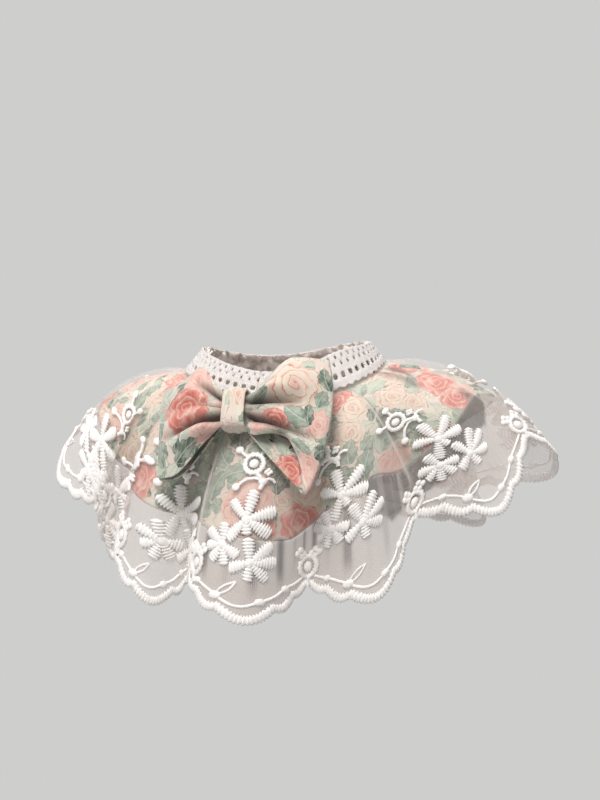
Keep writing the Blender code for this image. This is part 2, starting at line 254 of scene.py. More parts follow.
# scallop counted round the hem, azimuth in degrees, reach and height in mm
FOLDS = (
    (0.00, -83, 105, -38), (0.50, -73, 107, -45), (1.00, -65, 96, -69), (1.30, -68, 90, -78),
    (1.50, -69, 85, -83), (1.70, -66, 81, -86), (2.00, -58, 86, -88), (2.45, -36, 81, -93),
    (2.85, -30, 64, -96), (3.05, -23, 69, -96), (3.50, 6, 85, -92), (4.00, 28, 61, -97),
    (4.50, 50, 80, -85), (5.00, 71, 79, -67), (5.25, 78, 93, -56), (5.50, 84, 107, -50),
    (6.00, 97, 121, -33), (6.50, 111, 127, -46), (7.00, 122, 98, -68), (7.45, 134, 113, -81),
    (7.95, 145, 85, -84), (8.45, 157, 114, -86), (8.95, 169, 81, -89), (9.45, 180, 109, -87),
    (9.95, 191, 83, -88), (10.45, 202, 111, -89), (10.95, 214, 81, -85), (11.45, 226, 108, -82),
    (11.95, 236, 83, -79), (12.45, 247, 109, -71), (12.95, 257, 81, -67), (13.50, 266, 95, -54),
)
print("folds in the table:", len(FOLDS))


# %% A smooth closed curve through a table
def round_curve(knots, values, at, period):
    knots, values = np.asarray(knots, float), np.asarray(values, float)
    count = len(knots)
    step = np.diff(np.append(knots, knots[0] + period))
    before = np.roll(step, 1)
    system = np.zeros((count, count))
    for i in range(count):
        system[i, i] = 2 * (step[i] + before[i])
        system[i, (i + 1) % count] += step[i]
        system[i, (i - 1) % count] += before[i]
    rise = (np.roll(values, -1, 0) - values) / step[:, None]
    bend = np.linalg.solve(system, 6 * (rise - np.roll(rise, 1, 0)))
    at = np.mod(np.asarray(at, float) - knots[0], period) + knots[0]
    i = np.clip(np.searchsorted(knots, at, side="right") - 1, 0, count - 1)
    after = (at - knots[i]) / step[i]
    left = 1 - after
    straight = left[:, None] * values[i] + after[:, None] * values[(i + 1) % count]
    curved = (left**3 - left)[:, None] * bend[i] + (after**3 - after)[:, None] * bend[(i + 1) % count]
    return straight + curved * (step[i] ** 2 / 6)[:, None]


fold_table = np.array(FOLDS, float)
FOLD_AT = fold_table[:, 0]
fold_lead = np.radians(fold_table[:, 1]) - TAU * fold_table[:, 0] / REPEATS
FOLD_SHAPE = np.column_stack([fold_lead, fold_table[:, 2], fold_table[:, 3]])
HEM_STEPS = 2800
hem_walk = np.arange(HEM_STEPS) * REPEATS / HEM_STEPS
walk_lead = round_curve(FOLD_AT, FOLD_SHAPE, hem_walk, REPEATS)[:, 0]
LEAD_MEAN = walk_lead.mean()
LEAD_WAVES = [
    (
        wave,
        2 * (walk_lead * np.cos(wave * TAU * hem_walk / REPEATS)).mean(),
        2 * (walk_lead * np.sin(wave * TAU * hem_walk / REPEATS)).mean(),
    )
    for wave in (1, 2, 3)
]
print("mean lead of the hem over the neck, degrees:", round(math.degrees(LEAD_MEAN), 2))


# %% The neck edge, the hem and the fall between them
def unit(v):
    return v / np.linalg.norm(v, axis=-1, keepdims=True)


def neck_azimuth(s):
    angle = TAU * s / REPEATS
    lead = sum(c * np.cos(m * angle) + d * np.sin(m * angle) for m, c, d in LEAD_WAVES)
    return LEAD_MEAN + angle + NECK_FOLLOWS_HEM * lead


def polar(azimuth, half_width, half_depth, height):
    return np.stack([half_width * np.sin(azimuth), -half_depth * np.cos(azimuth), height], -1)


def rim_height(azimuth):
    tilt = RIM_TILT * np.cos(azimuth - RIM_TILT_AT)
    return RIM_MEAN + tilt - RIM_SADDLE * np.cos(2 * (azimuth - RIM_SADDLE_AT))


def band_point(azimuth, down):
    share = down / BAND_SLANT
    return polar(
        azimuth,
        NECK_HALF_WIDTH + BAND_FLARE * share,
        NECK_HALF_DEPTH + BAND_FLARE * share,
        rim_height(azimuth) - BAND_DROP * share,
    )


def fall(s, down):
    """A point of the ruffle, s scallops along the hem and down mm from the neck edge."""
    s, down = np.broadcast_arrays(np.asarray(s, float), np.asarray(down, float))
    azimuth = neck_azimuth(s)
    seam = band_point(azimuth, BAND_SLANT)
    lead, reach, height = np.moveaxis(
        round_curve(FOLD_AT, FOLD_SHAPE, s.ravel(), REPEATS).reshape(s.shape + (3,)), -1, 0
    )
    hem = polar(lead + TAU * s / REPEATS, reach, reach, height)
    out, sink = (hem - seam) * (1, 1, 0), (hem - seam) * (0, 0, 1)
    span = np.linalg.norm(hem - seam, axis=-1, keepdims=True)
    radial = polar(azimuth, 1.0, 1.0, 0 * azimuth) * np.linalg.norm(out, axis=-1, keepdims=True)
    end = unit(0.35 * out + sink)
    first = seam + unit(radial + 0.15 * sink) * span * 0.37
    second = hem - end * span * 0.36
    t = np.clip((down - BAND_SLANT) / (RUFFLE_DROP - BAND_SLANT), 0, 1)[..., None]
    curve = (1 - t) ** 3 * seam + 3 * (1 - t) ** 2 * t * first + 3 * (1 - t) * t**2 * second + t**3 * hem
    point = np.where(down[..., None] < BAND_SLANT, band_point(azimuth, down), curve)
    return point + end * np.clip(down - RUFFLE_DROP, 0, None)[..., None]


def fall_normal(s, down):
    along = fall(s + 0.01, down) - fall(s - 0.01, down)
    below = fall(s, down + 1.0) - fall(s, down - 1.0)
    return unit(np.cross(below, along))


# %% [markdown]
# Cloth that is gathered into a seam puckers there, and it creases where it is
# pressed between two fingers. The puckers are a wave that fades out down the cloth.
# The creases are listed one by one: each is a soft ridge or trough with its own start,
# end, lean, height and width.


# %% Puckers and creases
def smooth_step(x):
    x = np.clip(x, 0, 1)
    return x * x * (3 - 2 * x)


def bell(x, power=2):
    """1 at nought, and fading out to both sides."""
    return np.exp(-(x**power))


def sideways(s, at):
    """Scallops from at to s, the shorter way round the hem."""
    return np.mod(s - at + REPEATS / 2, REPEATS) - REPEATS / 2


def strokes(s, down, table, rise=6.0, ease=1.0):
    """Soft strokes laid along the cloth, one array for each row of the table.

    Rise is how fast a stroke sets in and ends, and ease rounds off both ends.
    """
    for top, foot, start, stop, strength, width in table:
        share = (down - start) / (stop - start)
        away = sideways(s, top + (foot - top) * share)
        along = np.clip(rise * share * (1 - share), 0, 1) ** ease * (share > 0) * (share < 1)
        yield strength * along * bell(away / width)


# scallop at its top, scallop at its foot, from and to in mm down, height, half width
CREASES = (
    (3.02, 3.10, 40, 126, 1.1, 0.030), (2.72, 2.62, 30, 110, -0.9, 0.05), (1.95, 2.05, 40, 108, 0.9, 0.05),
    (4.20, 4.12, 22, 108, 0.9, 0.04), (4.62, 4.75, 18, 80, -0.8, 0.05), (5.15, 5.06, 24, 96, 0.9, 0.05),
    (5.72, 5.85, 16, 70, -0.7, 0.06), (3.38, 3.30, 30, 118, -0.8, 0.05), (3.76, 3.82, 36, 112, 0.8, 0.05),
    (1.18, 1.12, 20, 90, 0.8, 0.06), (0.62, 0.70, 16, 76, -0.8, 0.06), (0.20, 0.14, 22, 100, 0.7, 0.06),
    (6.35, 6.28, 18, 92, 0.8, 0.06), (6.80, 6.92, 30, 112, -0.8, 0.06), (7.30, 7.22, 20, 90, 0.9, 0.05),
    (8.12, 8.20, 24, 104, -0.8, 0.05), (8.80, 8.74, 18, 84, 0.8, 0.05), (9.62, 9.70, 26, 112, 0.9, 0.05),
    (10.22, 10.14, 18, 88, -0.8, 0.05), (11.10, 11.18, 20, 104, 0.8, 0.05), (11.72, 11.66, 24, 96, -0.8, 0.05),
    (12.30, 12.24, 20, 90, 0.9, 0.05), (12.80, 12.88, 22, 100, -0.7, 0.05), (13.30, 13.22, 18, 94, 0.8, 0.05),
)
PUFFS = ((6.45, 4.2), (0.05, 2.6))  # scallop and height in mm, over each shoulder
PUFF_HALF_WIDTH = 0.75


def puckers(s, down):
    """The gathers below the seam: broad ones, and fine ones that fade out sooner."""
    start = np.clip((down - BAND_SLANT) / 6, 0, 1)
    uneven = 0.7 + 0.3 * np.sin(TAU * s * 5 / REPEATS + 1)
    fade = np.exp(-np.clip(down - 18, 0, None) / GATHER_FADE)
    coarse = GATHER_HEIGHT * start * fade * uneven * np.sin(TAU * GATHERS_PER_REPEAT * s)
    fine_fade = np.exp(-np.clip(down - 16, 0, None) / 9)
    return coarse + 0.32 * start * fine_fade * np.sin(TAU * 7 * s + 2 * np.sin(s * 2.7))


def swell(s, down):
    """The broad puff of both ruffles over the two shoulders."""
    puff = sum(height * bell(sideways(s, at) / PUFF_HALF_WIDTH) for at, height in PUFFS)
    return puff * smooth_step((down - 13) / 16) * smooth_step((92 - down) / 50)


def on_ruffle(s, down, lift):
    """The ruffle's point moved out by lift mm, with its puckers, creases and puff."""
    s, down = np.broadcast_arrays(np.asarray(s, float), np.asarray(down, float))
    raised = puckers(s, down) + sum(strokes(s, down, CREASES, 4.0, 0.6)) + swell(s, down)
    return fall(s, down) + fall_normal(s, down) * np.asarray(lift + raised)[..., None]


print("creases placed by hand:", len(CREASES))

# %% [markdown]
# The scalloped hem repeats fourteen times. One scallop is a broad round, broken into
# five small arcs that meet in points. The lace was cut as a flared ring, so its flat
# cut is laid out in a plane round one centre, and the print and the mesh of the net
# are drawn on that flat cut in millimetres.

# %% The scalloped edge and the flat cut
SCALLOP_ARCS = ((0.0, 2.2), (0.17, 2.6), (0.335, 4.0))
SCALLOP_MIDDLE_CUSP = 0.665
# scallop, and mm down to the hem of the cotton there
COTTON_HEM = (
    (0.3, 82), (1.7, 80), (2.5, 83), (3.1, 85), (3.9, 86), (4.35, 71), (4.7, 72),
    (5.0, 81), (5.3, 77), (5.6, 72), (6.0, 72), (6.5, 75), (9.0, 77), (12.0, 76),
)
# of the neck edge on the flat cut, radians to a repeat, and the scallop that lies straight down
CUT_RADIUS, CUT_TURN, CUT_MIDDLE = 56.0, 0.4075, 3.5


def scallop(s):
    x = np.mod(s, 1.0)
    x = np.where(x > 0.5, 1 - x, x)
    starts = np.array([start for start, _ in SCALLOP_ARCS] + [SCALLOP_MIDDLE_CUSP])
    rises = np.array([rise for _, rise in SCALLOP_ARCS])
    arc = np.clip(np.searchsorted(starts, x, side="right") - 1, 0, len(rises) - 1)
    across = (x - starts[arc]) / (starts[arc + 1] - starts[arc])
    return 0.78 * SCALLOP_DEPTH * np.sin(np.pi * x) ** 1.2 + rises[arc] * np.sin(np.pi * across) ** 0.8


def cotton_hem(s):
    table = np.array(COTTON_HEM, float)
    return round_curve(table[:, 0], table[:, 1:], s, REPEATS)[:, 0]


def flat_cut(s, down):
    turn, radius = (s - CUT_MIDDLE) * CUT_TURN, CUT_RADIUS + down
    return np.stack([radius * np.sin(turn), -radius * np.cos(turn)], -1)


print("hem of the flat cut, mm:", round(REPEATS * CUT_TURN * (CUT_RADIUS + RUFFLE_DROP)))


# %% Mesh helpers
def only(thing):
    bpy.ops.object.select_all(action="DESELECT")
    thing.select_set(True)
    bpy.context.view_layer.objects.active = thing
    return thing


def corners_of(thing):
    """The piece's points, in mm, as an array."""
    spots = np.empty(len(thing.data.vertices) * 3)
    thing.data.vertices.foreach_get("co", spots)
    return spots.reshape(-1, 3) / MM


def move_corners(thing, points):
    thing.data.vertices.foreach_set("co", (np.asarray(points) * MM).ravel())
    thing.data.update()


def mend(thing, merge=1e-6):
    """Joins doubled points and turns every face outwards."""
    only(thing)
    bpy.ops.object.mode_set(mode="EDIT")
    bpy.ops.mesh.select_all(action="SELECT")
    bpy.ops.mesh.remove_doubles(threshold=merge)
    bpy.ops.mesh.normals_make_consistent(inside=False)
    bpy.ops.object.mode_set(mode="OBJECT")


def finish_with(thing, *modifiers):
    """Adds modifiers with their settings and applies them."""
    only(thing)
    for kind, settings in modifiers:
        modifier = thing.modifiers.new(kind.lower(), kind)
        for key, value in settings.items():
            setattr(modifier, key, value)
        bpy.ops.object.modifier_apply(modifier=modifier.name)
    return thing


def set_down(thing):
    """Applies the piece's own place, turn and size, and shades it smooth."""
    only(thing)
    bpy.ops.object.transform_apply(location=True, rotation=True, scale=True)
    bpy.ops.object.shade_smooth()
    return thing


def joined(name, things):
    only(things[0])
    for thing in things:
        thing.select_set(True)
    if len(things) > 1:
        bpy.ops.object.join()
    whole = bpy.context.object
    whole.name = whole.data.name = name
    return whole


def oblong(width, height):
    """The flat cut of a plain strip, in mm."""
    return lambda u, v: np.stack([u * width, v * height], -1)


def cloth_grid(name, columns, rows, place, flat):
    """A grid, bent to place(u, v), with the flat cut in mm as its UV map."""
    bpy.ops.object.select_all(action="DESELECT")
    bpy.ops.mesh.primitive_grid_add(x_subdivisions=columns, y_subdivisions=rows, size=1)
    cloth = bpy.context.object
    cloth.name = cloth.data.name = name
    u, v = (corners_of(cloth)[:, :2] * MM + 0.5).T
    move_corners(cloth, place(u, v))
    corner = np.empty(len(cloth.data.loops), int)
    cloth.data.loops.foreach_get("vertex_index", corner)
    layer = cloth.data.uv_layers[0]
    layer.name = "flat_cut"
    layer.data.foreach_set("uv", flat(u, v)[corner].ravel())
    bpy.ops.object.shade_smooth()
    return cloth


def wear(thing, material):
    thing.data.materials.clear()
    thing.data.materials.append(material)
    return thing


def count(thing):
    thing.data.calc_loop_triangles()
    return f"{thing.name}: {len(thing.data.loop_triangles)} triangles"


# %% [markdown]
# ## The printed cotton
# The print is a common floral: loose roses in coral and pale pink among sage leaves
# on a cream ground, with fine drawn lines. It is painted by nodes. One motif is a
# small picture on its own unit circle. A scatter gives each cell of a grid its own
# centre and turn, and motifs that show in front are placed one by one in a short table.


# %% Motif groups
def shader_group(name, inputs, outputs):
    group = bpy.data.node_groups.new(name, "ShaderNodeTree")
    for label, kind, value in inputs:
        socket = group.interface.new_socket(label, in_out="INPUT", socket_type="NodeSocket" + kind)
        socket.default_value = value
    for label, kind in outputs:
        group.interface.new_socket(label, in_out="OUTPUT", socket_type="NodeSocket" + kind)
    given = {socket.name: Value(socket) for socket in group.nodes.new("NodeGroupInput").outputs}
    return group, given, group.nodes.new("NodeGroupOutput").inputs


def use(group, links):
    """Puts a group into the tree that its links come from."""
    node = put(tree_of(*links.values()), "Group", links, node_tree=group)
    return {socket.name: Value(socket) for socket in node.outputs}


def polar_of(spot):
    """Length and angle of a spot, the tone that its z holds, and its x and y."""
    x, y, z = parts(spot)
    length = vector("LENGTH", vector("MULTIPLY", spot, (1, 1, 0)), output="Value")
    return length, maths("ARCTAN2", y, x), z * 20.0, x, y


NOWHERE = (9, 9, 0)  # a spot outside every motif

SCATTER, given, made = shader_group(
    "scattered_spots",
    (("Flat", "Vector", (0, 0, 0)), ("Cell", "Float", 20.0), ("Size", "Float", 9.0), ("Kept", "Float", 0.8)),
    (("Spot", "Vector"),),
)
flat = given["Flat"]
grid = {"Vector": flat, "Scale": 1.0 / given["Cell"], "Randomness": 0.62}
cells = put(SCATTER, "TexVoronoi", grid, voronoi_dimensions="2D").outputs
small = scaled(vector("SUBTRACT", flat, Value(cells["Position"])), 1.0 / given["Size"])
red, green, blue = parts(Value(cells["Color"]), "SeparateColor")
turned = get(SCATTER, "VectorRotate", {"Vector": small, "Angle": red * TAU}, rotation_type="Z_AXIS")
x, y, z = parts(turned)
missing = (blue > given["Kept"]) * 9.0
give(made["Spot"], get(SCATTER, "CombineXYZ", {0: x + missing, 1: y, 2: green * 0.05}))

NEARER, given, made = shader_group(
    "nearer_spot", (("One", "Vector", NOWHERE), ("Other", "Vector", NOWHERE)), (("Spot", "Vector"),)
)
lengths = [vector("LENGTH", given[label], output="Value") for label in ("One", "Other")]
pick = {0: lengths[1] < lengths[0], 4: given["One"], 5: given["Other"]}
give(made["Spot"], get(NEARER, "Mix", pick, 1, data_type="VECTOR"))
print("groups:", [group.name for group in bpy.data.node_groups])

# %% [markdown]
# A printed rose is a spiral of petals. The distance from its middle is made uneven
# by noise and by five lobes, and a spiral of that distance and the angle gives the
# petal bands. Each band runs from a deep inner side to a light outer one and ends in
# a thin drawn line. The tone that comes with the spot picks coral, pale pink or cream.

# %% The printed rose
MOTIF = ((("Spot", "Vector", (0, 0, 0)),), (("Mask", "Float"), ("Colour", "Color")))
ROSE, given, made = shader_group("printed_rose", *MOTIF)
spot = given["Spot"]
length, angle, tone, x, y = polar_of(spot)
uneven = length + (noise(spot, 2.1, 3.0, Roughness=0.6) - 0.5) * 0.62
lobes = maths("COSINE", angle * 5.0 + uneven * 9.0)
edge = uneven * (lobes * 0.08 + 1.0)
band = maths("FRACT", edge * 3.6 + angle / TAU)


def petal_bands(value, colours):
    ramp = put(tree_of(value), "ValToRGB", {0: value})
    stops = ramp.color_ramp.elements
    places = (0.0, 0.16, 0.30, 0.80)
    while len(stops) < len(places):
        stops.new(0.5)
    for stop, place, colour in zip(stops, places, colours):
        stop.position, stop.color = place, paint(*colour)
    return Value(ramp.outputs[0])


coral = petal_bands(band, ((243, 214, 196), (232, 172, 154), (204, 102, 90), (228, 148, 134)))
pale = petal_bands(band, ((210, 138, 124), (228, 172, 158), (232, 190, 178), (233, 202, 190)))
cream = petal_bands(band, ((205, 112, 94), (224, 186, 166), (228, 212, 194), (230, 220, 203)))
colour = blend(tone > 0.78, blend(tone > 0.45, coral, pale), cream)
heart = (1.0 - soft_step(edge, 0.08, 0.36)) * 0.3
colour = blend(heart, colour, paint(210, 108, 96))
colour = blend(soft_step(noise(spot, 1.3), 0.45, 0.70) * 0.55, colour, paint(243, 216, 200))
give(made["Mask"], 1.0 - soft_step(edge, 0.93, 0.99))
give(made["Colour"], colour)

# %% The printed leaf
LEAF, given, made = shader_group("printed_leaf", *MOTIF)
spot = given["Spot"]
_, _, tone, x, y = polar_of(spot)
curl = y + x * x * 0.22
side = abs(curl)
belly = (1.0 - x * x) * (x * -0.18 + 0.58)
teeth = maths("SINE", x * 13.0) * 0.055
inside = belly + teeth - side
rib = 1.0 - soft_step(side, 0.018, 0.05)
veins = (maths("FRACT", (x - side) * 2.6) < 0.14) * 0.5
half = soft_step(curl, -0.05, 0.05)
# the two halves of a leaf, and the tone from which on it is used
LEAF_TONES = (
    (0.0, (226, 224, 208), (214, 219, 203)), (0.28, (176, 190, 174), (196, 206, 189)),
    (0.58, (122, 146, 130), (148, 166, 149)), (0.84, (72, 93, 81), (98, 118, 102)),
)
colour = None
for least, one, other in LEAF_TONES:
    halves = blend(half, paint(*one), paint(*other))
    colour = halves if colour is None else blend(tone > least, colour, halves)
vein_tone = blend(tone > 0.28, paint(150, 160, 142), paint(222, 226, 212))
colour = blend(maths("MAXIMUM", rib, veins) * 0.6, colour, vein_tone)
colour = blend(soft_step(noise(spot, 1.6), 0.42, 0.68) * 0.6, colour, paint(206, 208, 193))
outline = 1.0 - soft_step(inside, 0.03, 0.09)
colour = blend(outline * 0.7, colour, paint(96, 104, 90))
give(made["Mask"], soft_step(inside, 0.0, 0.05) * (abs(x) < 1.0))
give(made["Colour"], colour)
print("motifs ready")

# %% [markdown]
# Plain woven cotton shows a fine even weave. Its height is a small basket pattern on
# the flat cut, shared by the ruffle, the bow and the knot.

# %% Weave and the whole print
WEAVE, given, made = shader_group(
    "plain_weave", (("Flat", "Vector", (0, 0, 0)), ("Pitch", "Float", 0.5)), (("Height", "Float"),)
)
flat = given["Flat"]
x, y, z = parts(scaled(flat, TAU / given["Pitch"]))
basket = maths("SINE", x) * maths("SINE", y)
give(made["Height"], basket * 0.3 + noise(flat, 0.9))

# millimetres of each cell and size of its leaf, and how far that scatter is moved
LEAF_SCATTERS = ((9.5, 6.0, 0.0), (12.5, 6.6, 37.0), (15.0, 5.0, 71.0))
PRINT, given, made = shader_group(
    "floral_print",
    (
        ("Flat", "Vector", (0, 0, 0)), ("Rose", "Vector", NOWHERE), ("Leaf", "Vector", NOWHERE),
        ("Roses Kept", "Float", 0.7), ("Leaves Kept", "Float", 0.7), ("Painted Shade", "Float", 0.0),
        ("Tone And Shade", "Color", (0.9, 0.9, 0.88, 1)),
    ),
    (("Colour", "Color"),),
)
flat = given["Flat"]


def scattered(shift_x, shift_y, cell, size, kept):
    moved = vector("ADD", flat, (shift_x, shift_y, 0))
    return use(SCATTER, {"Flat": moved, "Cell": cell, "Size": size, "Kept": kept})["Spot"]


def printed(motif, spot, ground):
    drawn = use(motif, {"Spot": spot})
    return blend(drawn["Mask"], ground, drawn["Colour"])


colour = blend(soft_step(noise(flat, 0.055, 2.5), 0.40, 0.62), paint(234, 225, 210), paint(230, 212, 200))
colour = blend(soft_step(noise(flat, 0.09, 1.0), 0.56, 0.68) * 0.6, colour, paint(202, 206, 192))
scrawl = abs(noise(flat, 0.13, Distortion=0.8) - 0.52)
colour = blend((1.0 - soft_step(scrawl, 0.006, 0.016)) * 0.55, colour, paint(140, 110, 98))
for cell, size, shift in LEAF_SCATTERS:
    colour = printed(LEAF, scattered(shift, shift * 0.7, cell, size, given["Leaves Kept"]), colour)
roses = scattered(11.0, 5.0, 33.0, 11.5, given["Roses Kept"])
colour = printed(ROSE, use(NEARER, {"One": roses, "Other": given["Rose"]})["Spot"], colour)
colour = printed(LEAF, given["Leaf"], colour)
# the piece's tone multiplies the print; on the bow and the knot it is darker, as painted shade
tinted = {0: 1.0, 6: colour, 7: given["Tone And Shade"]}
colour = get(PRINT, "Mix", tinted, 2, data_type="RGBA", blend_type="MULTIPLY")
# painted shade: the print is darkened towards a dark brown where a fold lies deep
give(made["Colour"], blend(given["Painted Shade"] * 0.85, colour, paint(66, 46, 40)))
print("print built from", len(PRINT.nodes), "nodes")


# %% Cotton material
def placed_spots(tree, flat, table):
    """The nearest of the motifs in a table of x, y, size, turn in degrees, tone."""
    best = None
    for x, y, size, turn, tone in table:
        frame_of_motif = {
            "Vector": flat,
            "Location": (x, y, -0.05 * tone),
            "Rotation": (0, 0, math.radians(turn)),
            "Scale": (size, size, 1),
        }
        spot = get(tree, "Mapping", frame_of_motif, vector_type="TEXTURE")
        best = spot if best is None else use(NEARER, {"One": best, "Other": spot})["Spot"]
    return best


def new_material(name, **sockets):
    material = bpy.data.materials.new(name)
    material.use_nodes = True
    tree = material.node_tree
    shader = tree.nodes["Principled BSDF"]
    for label, value in sockets.items():
        shader.inputs[label.replace("_", " ")].default_value = value
    return material, tree, shader


def on_points(tree, name):
    """A number that each point of the piece carries."""
    return get(tree, "Attribute", output="Fac", attribute_name=name)


def colour_and_bump(shader, colour, height, strength, distance):
    give(shader.inputs["Base Color"], colour)
    bump = get(tree_of(height), "Bump", {"Height": height, "Strength": strength, "Distance": distance})
    give(shader.inputs["Normal"], bump)


# The print is multiplied by a tone on each piece. The bow's and the knot's is darker than the ruffle's, though
# it is the same cloth: painted shade on the bow.
BOW_TONE_AND_SHADE, RUFFLE_TONE = (0.83, 0.81, 0.80, 1), (0.90, 0.895, 0.875, 1)


def cotton_material(name, roses, leaves, roses_kept, leaves_kept=0.7, tone_and_shade=BOW_TONE_AND_SHADE):
    """The print on one piece, with painted shade that darkens it where the value on its points says it lies
    deep in a fold.
    """
    material, tree, shader = new_material(name, Roughness=0.86, Sheen_Weight=0.25, Sheen_Roughness=0.5)
    flat = get(tree, "UVMap", uv_map="flat_cut")
    spots = {"Rose": placed_spots(tree, flat, roses), "Leaf": placed_spots(tree, flat, leaves)}
    kept = {"Roses Kept": roses_kept, "Leaves Kept": leaves_kept, "Tone And Shade": tone_and_shade}
    floral = use(PRINT, {"Flat": flat, "Painted Shade": on_points(tree, "painted_shade"), **spots, **kept})
    weave = use(WEAVE, {"Flat": flat, "Pitch": 0.55})
    colour_and_bump(shader, floral["Colour"], weave["Height"], 0.25, 0.0003)
    return material


# %% [markdown]
# ## The sheer net
# Net is mostly holes. Its threads form a honeycomb less than a millimetre across, so
# from a step away it is a veil. Three waves at 60 degrees give the honeycomb, and the
# threads are more opaque than the holes between them. Where the net lies on the
# cotton it nearly vanishes. Below the cotton it hangs free in small upright pleats,
# denser there and painted greyer, most of all in front: painted shade for the shaded
# inside behind it, darker still in the pleats. Four numbers on each point of the net
# say where that is: "free", "pleat", a third for the painted dark of the shaded
# inside, and "turned" for the edge of a fold that lies double, denser there and with a
# painted highlight. A soft sheen makes the folds glow where they turn away.

# %% Net material
HONEYCOMB, given, made = shader_group(
    "honeycomb_net", (("Flat", "Vector", (0, 0, 0)), ("Pitch", "Float", 0.8)), (("Thread", "Float"),)
)
WAVE_TURNS = TAU / math.cos(math.radians(30))  # so that the waves meet one pitch apart
waves = []
for direction in np.radians((0, 60, 120)):
    spread = (WAVE_TURNS * math.cos(direction), WAVE_TURNS * math.sin(direction), 0)
    along = vector("DOT_PRODUCT", given["Flat"], spread, output="Value")
    waves.append(maths("COSINE", along / given["Pitch"]))
give(made["Thread"], 1.0 - soft_step(waves[0] + waves[1] + waves[2], -0.9, 0.1))

net_look, tree, shader = new_material("sheer_net", Roughness=0.6, Sheen_Weight=0.5, Sheen_Roughness=0.35)
flat = get(tree, "UVMap", uv_map="flat_cut")
thread = use(HONEYCOMB, {"Flat": flat, "Pitch": 0.85})["Thread"]
free, pleat, deep, turned = (on_points(tree, name) for name in ("free", "pleat", "painted_shade", "turned"))
# Painted light on the net: painted shade greys it below the cotton and darkens its pleats and the shaded inside
# seen through it, and a painted highlight lightens the doubled fold edges.
shaded_pleats = pleat * free
tone = blend(maths("POWER", free, 1.8), paint(244, 233, 226), paint(198, 182, 173))
for amount, shade in ((shaded_pleats, (104, 95, 90)), (deep, (84, 79, 76)), (turned, (246, 240, 234))):
    tone = blend(amount, tone, paint(*shade))
give(shader.inputs["Base Color"], tone)
density = get(tree, "Mix", {0: free, 2: 0.17, 3: 0.60}, data_type="FLOAT")
density = density + (turned * 0.5 + (deep * 0.55 + shaded_pleats * 0.35))
give(shader.inputs["Alpha"], maths("MULTIPLY", density, thread * 0.9 + 0.55, clamp=True))
print("net material:", len(tree.nodes), "nodes")

# %% Net ruffle
NET_GRID = (60 * REPEATS, 60)  # columns and rows
EDGE_OVERLAP, SEAM_OVERLAP = 1.6, 0.8  # mm that the cloth runs on under the satin edge and the band


def net_pleats(s, down):
    """Small upright pleats of the net below the cotton, 0 to 1, uneven in place and depth."""
    fine = np.sin(TAU * 7 * s + 3.1 * np.sin(TAU * 3 * s / REPEATS) + 1.2 * np.sin(TAU * s))
    broad = np.sin(TAU * 4 * s + 2.3 * np.sin(TAU * 5 * s / REPEATS))
    ridge = np.clip(0.85 * fine + 0.45 * broad, 0, 1) ** 1.5
    return ridge * smooth_step((down - 60) / 25) * smooth_step((RUFFLE_DROP + scallop(s) - 8 - down) / 14)


def net_down(u, v):
    s = u * REPEATS
    hem = RUFFLE_DROP + scallop(s) - EDGE_OVERLAP
    return s, hem + (SEAM_START - SEAM_OVERLAP - hem) * v


def net_place(u, v):
    s, down = net_down(u, v)
    return on_ruffle(s, down, 0.0) - fall_normal(s, down) * 0.5 * net_pleats(s, down)[..., None]


# rows as those of CREASES, with a strength of 0 to 1 in place of a height, for the edge of a fold that lies
# double: denser there, with a painted highlight
NET_FOLDS = (
    (3.02, 3.13, 40, 122, 0.9, 0.014), (2.01, 1.62, 44, 72, 0.8, 0.016), (1.62, 1.31, 71, 112, 0.8, 0.016),
    (4.79, 5.03, 14, 96, 0.8, 0.014), (6.02, 5.93, 30, 84, 0.3, 0.02), (0.32, 0.26, 24, 96, 0.4, 0.02),
    (8.45, 8.42, 60, 116, 0.4, 0.02), (10.45, 10.48, 56, 118, 0.4, 0.02), (12.45, 12.42, 50, 112, 0.4, 0.02),
)
# scallop, and mm down to the lower edge of the painted shade on the net below the cotton, for the shaded inside
# seen through it
SHADE_FOOT = (
    (4.44, 68), (4.55, 84), (4.70, 97), (4.95, 99), (5.12, 102), (5.29, 99),
    (5.45, 89), (5.60, 83), (5.74, 87), (5.90, 80), (6.03, 70),
)
# the painted shade of the inside is even, without pleats, from this scallop on
SHADE_EVEN_FROM = 5.1  # scallop from which on no pleats break up the dark inside
FRONT_PLEATS, LEFT_PLEATS = (3.7, 0.95), (1.7, 1.0)  # scallop of the middle and half width


def grid_shares(thing, columns, rows):
    """u and v of a new grid's points, 0 to 1."""
    number = np.arange(len(thing.data.vertices))
    return number % (columns + 1) / columns, number // (columns + 1) / rows


def point_values(thing, name, values):
    thing.data.attributes.new(name, "FLOAT", "POINT").data.foreach_set("value", values)


def shade_behind(s, down):
    """Painted shade on the net below the cotton, 0 to 1, for the dark inside seen through it."""
    scallops, foot = np.array(SHADE_FOOT).T
    inside = smooth_step((np.interp(s, scallops, foot, 0, 0) - down) / 2 + 0.5)
    return inside * (0.85 - 0.45 * net_pleats(s, down) * (s < SHADE_EVEN_FROM))


def net_flat(u, v):
    return flat_cut(*net_down(u, v))


net = cloth_grid("sheer_net_ruffle", *NET_GRID, net_place, net_flat)
s, down = net_down(*grid_shares(net, *NET_GRID))
in_front, at_left = (bell((s - middle) / half, 4) for middle, half in (FRONT_PLEATS, LEFT_PLEATS))
below = smooth_step((down - cotton_hem(s) + 1.6) / 1.6)
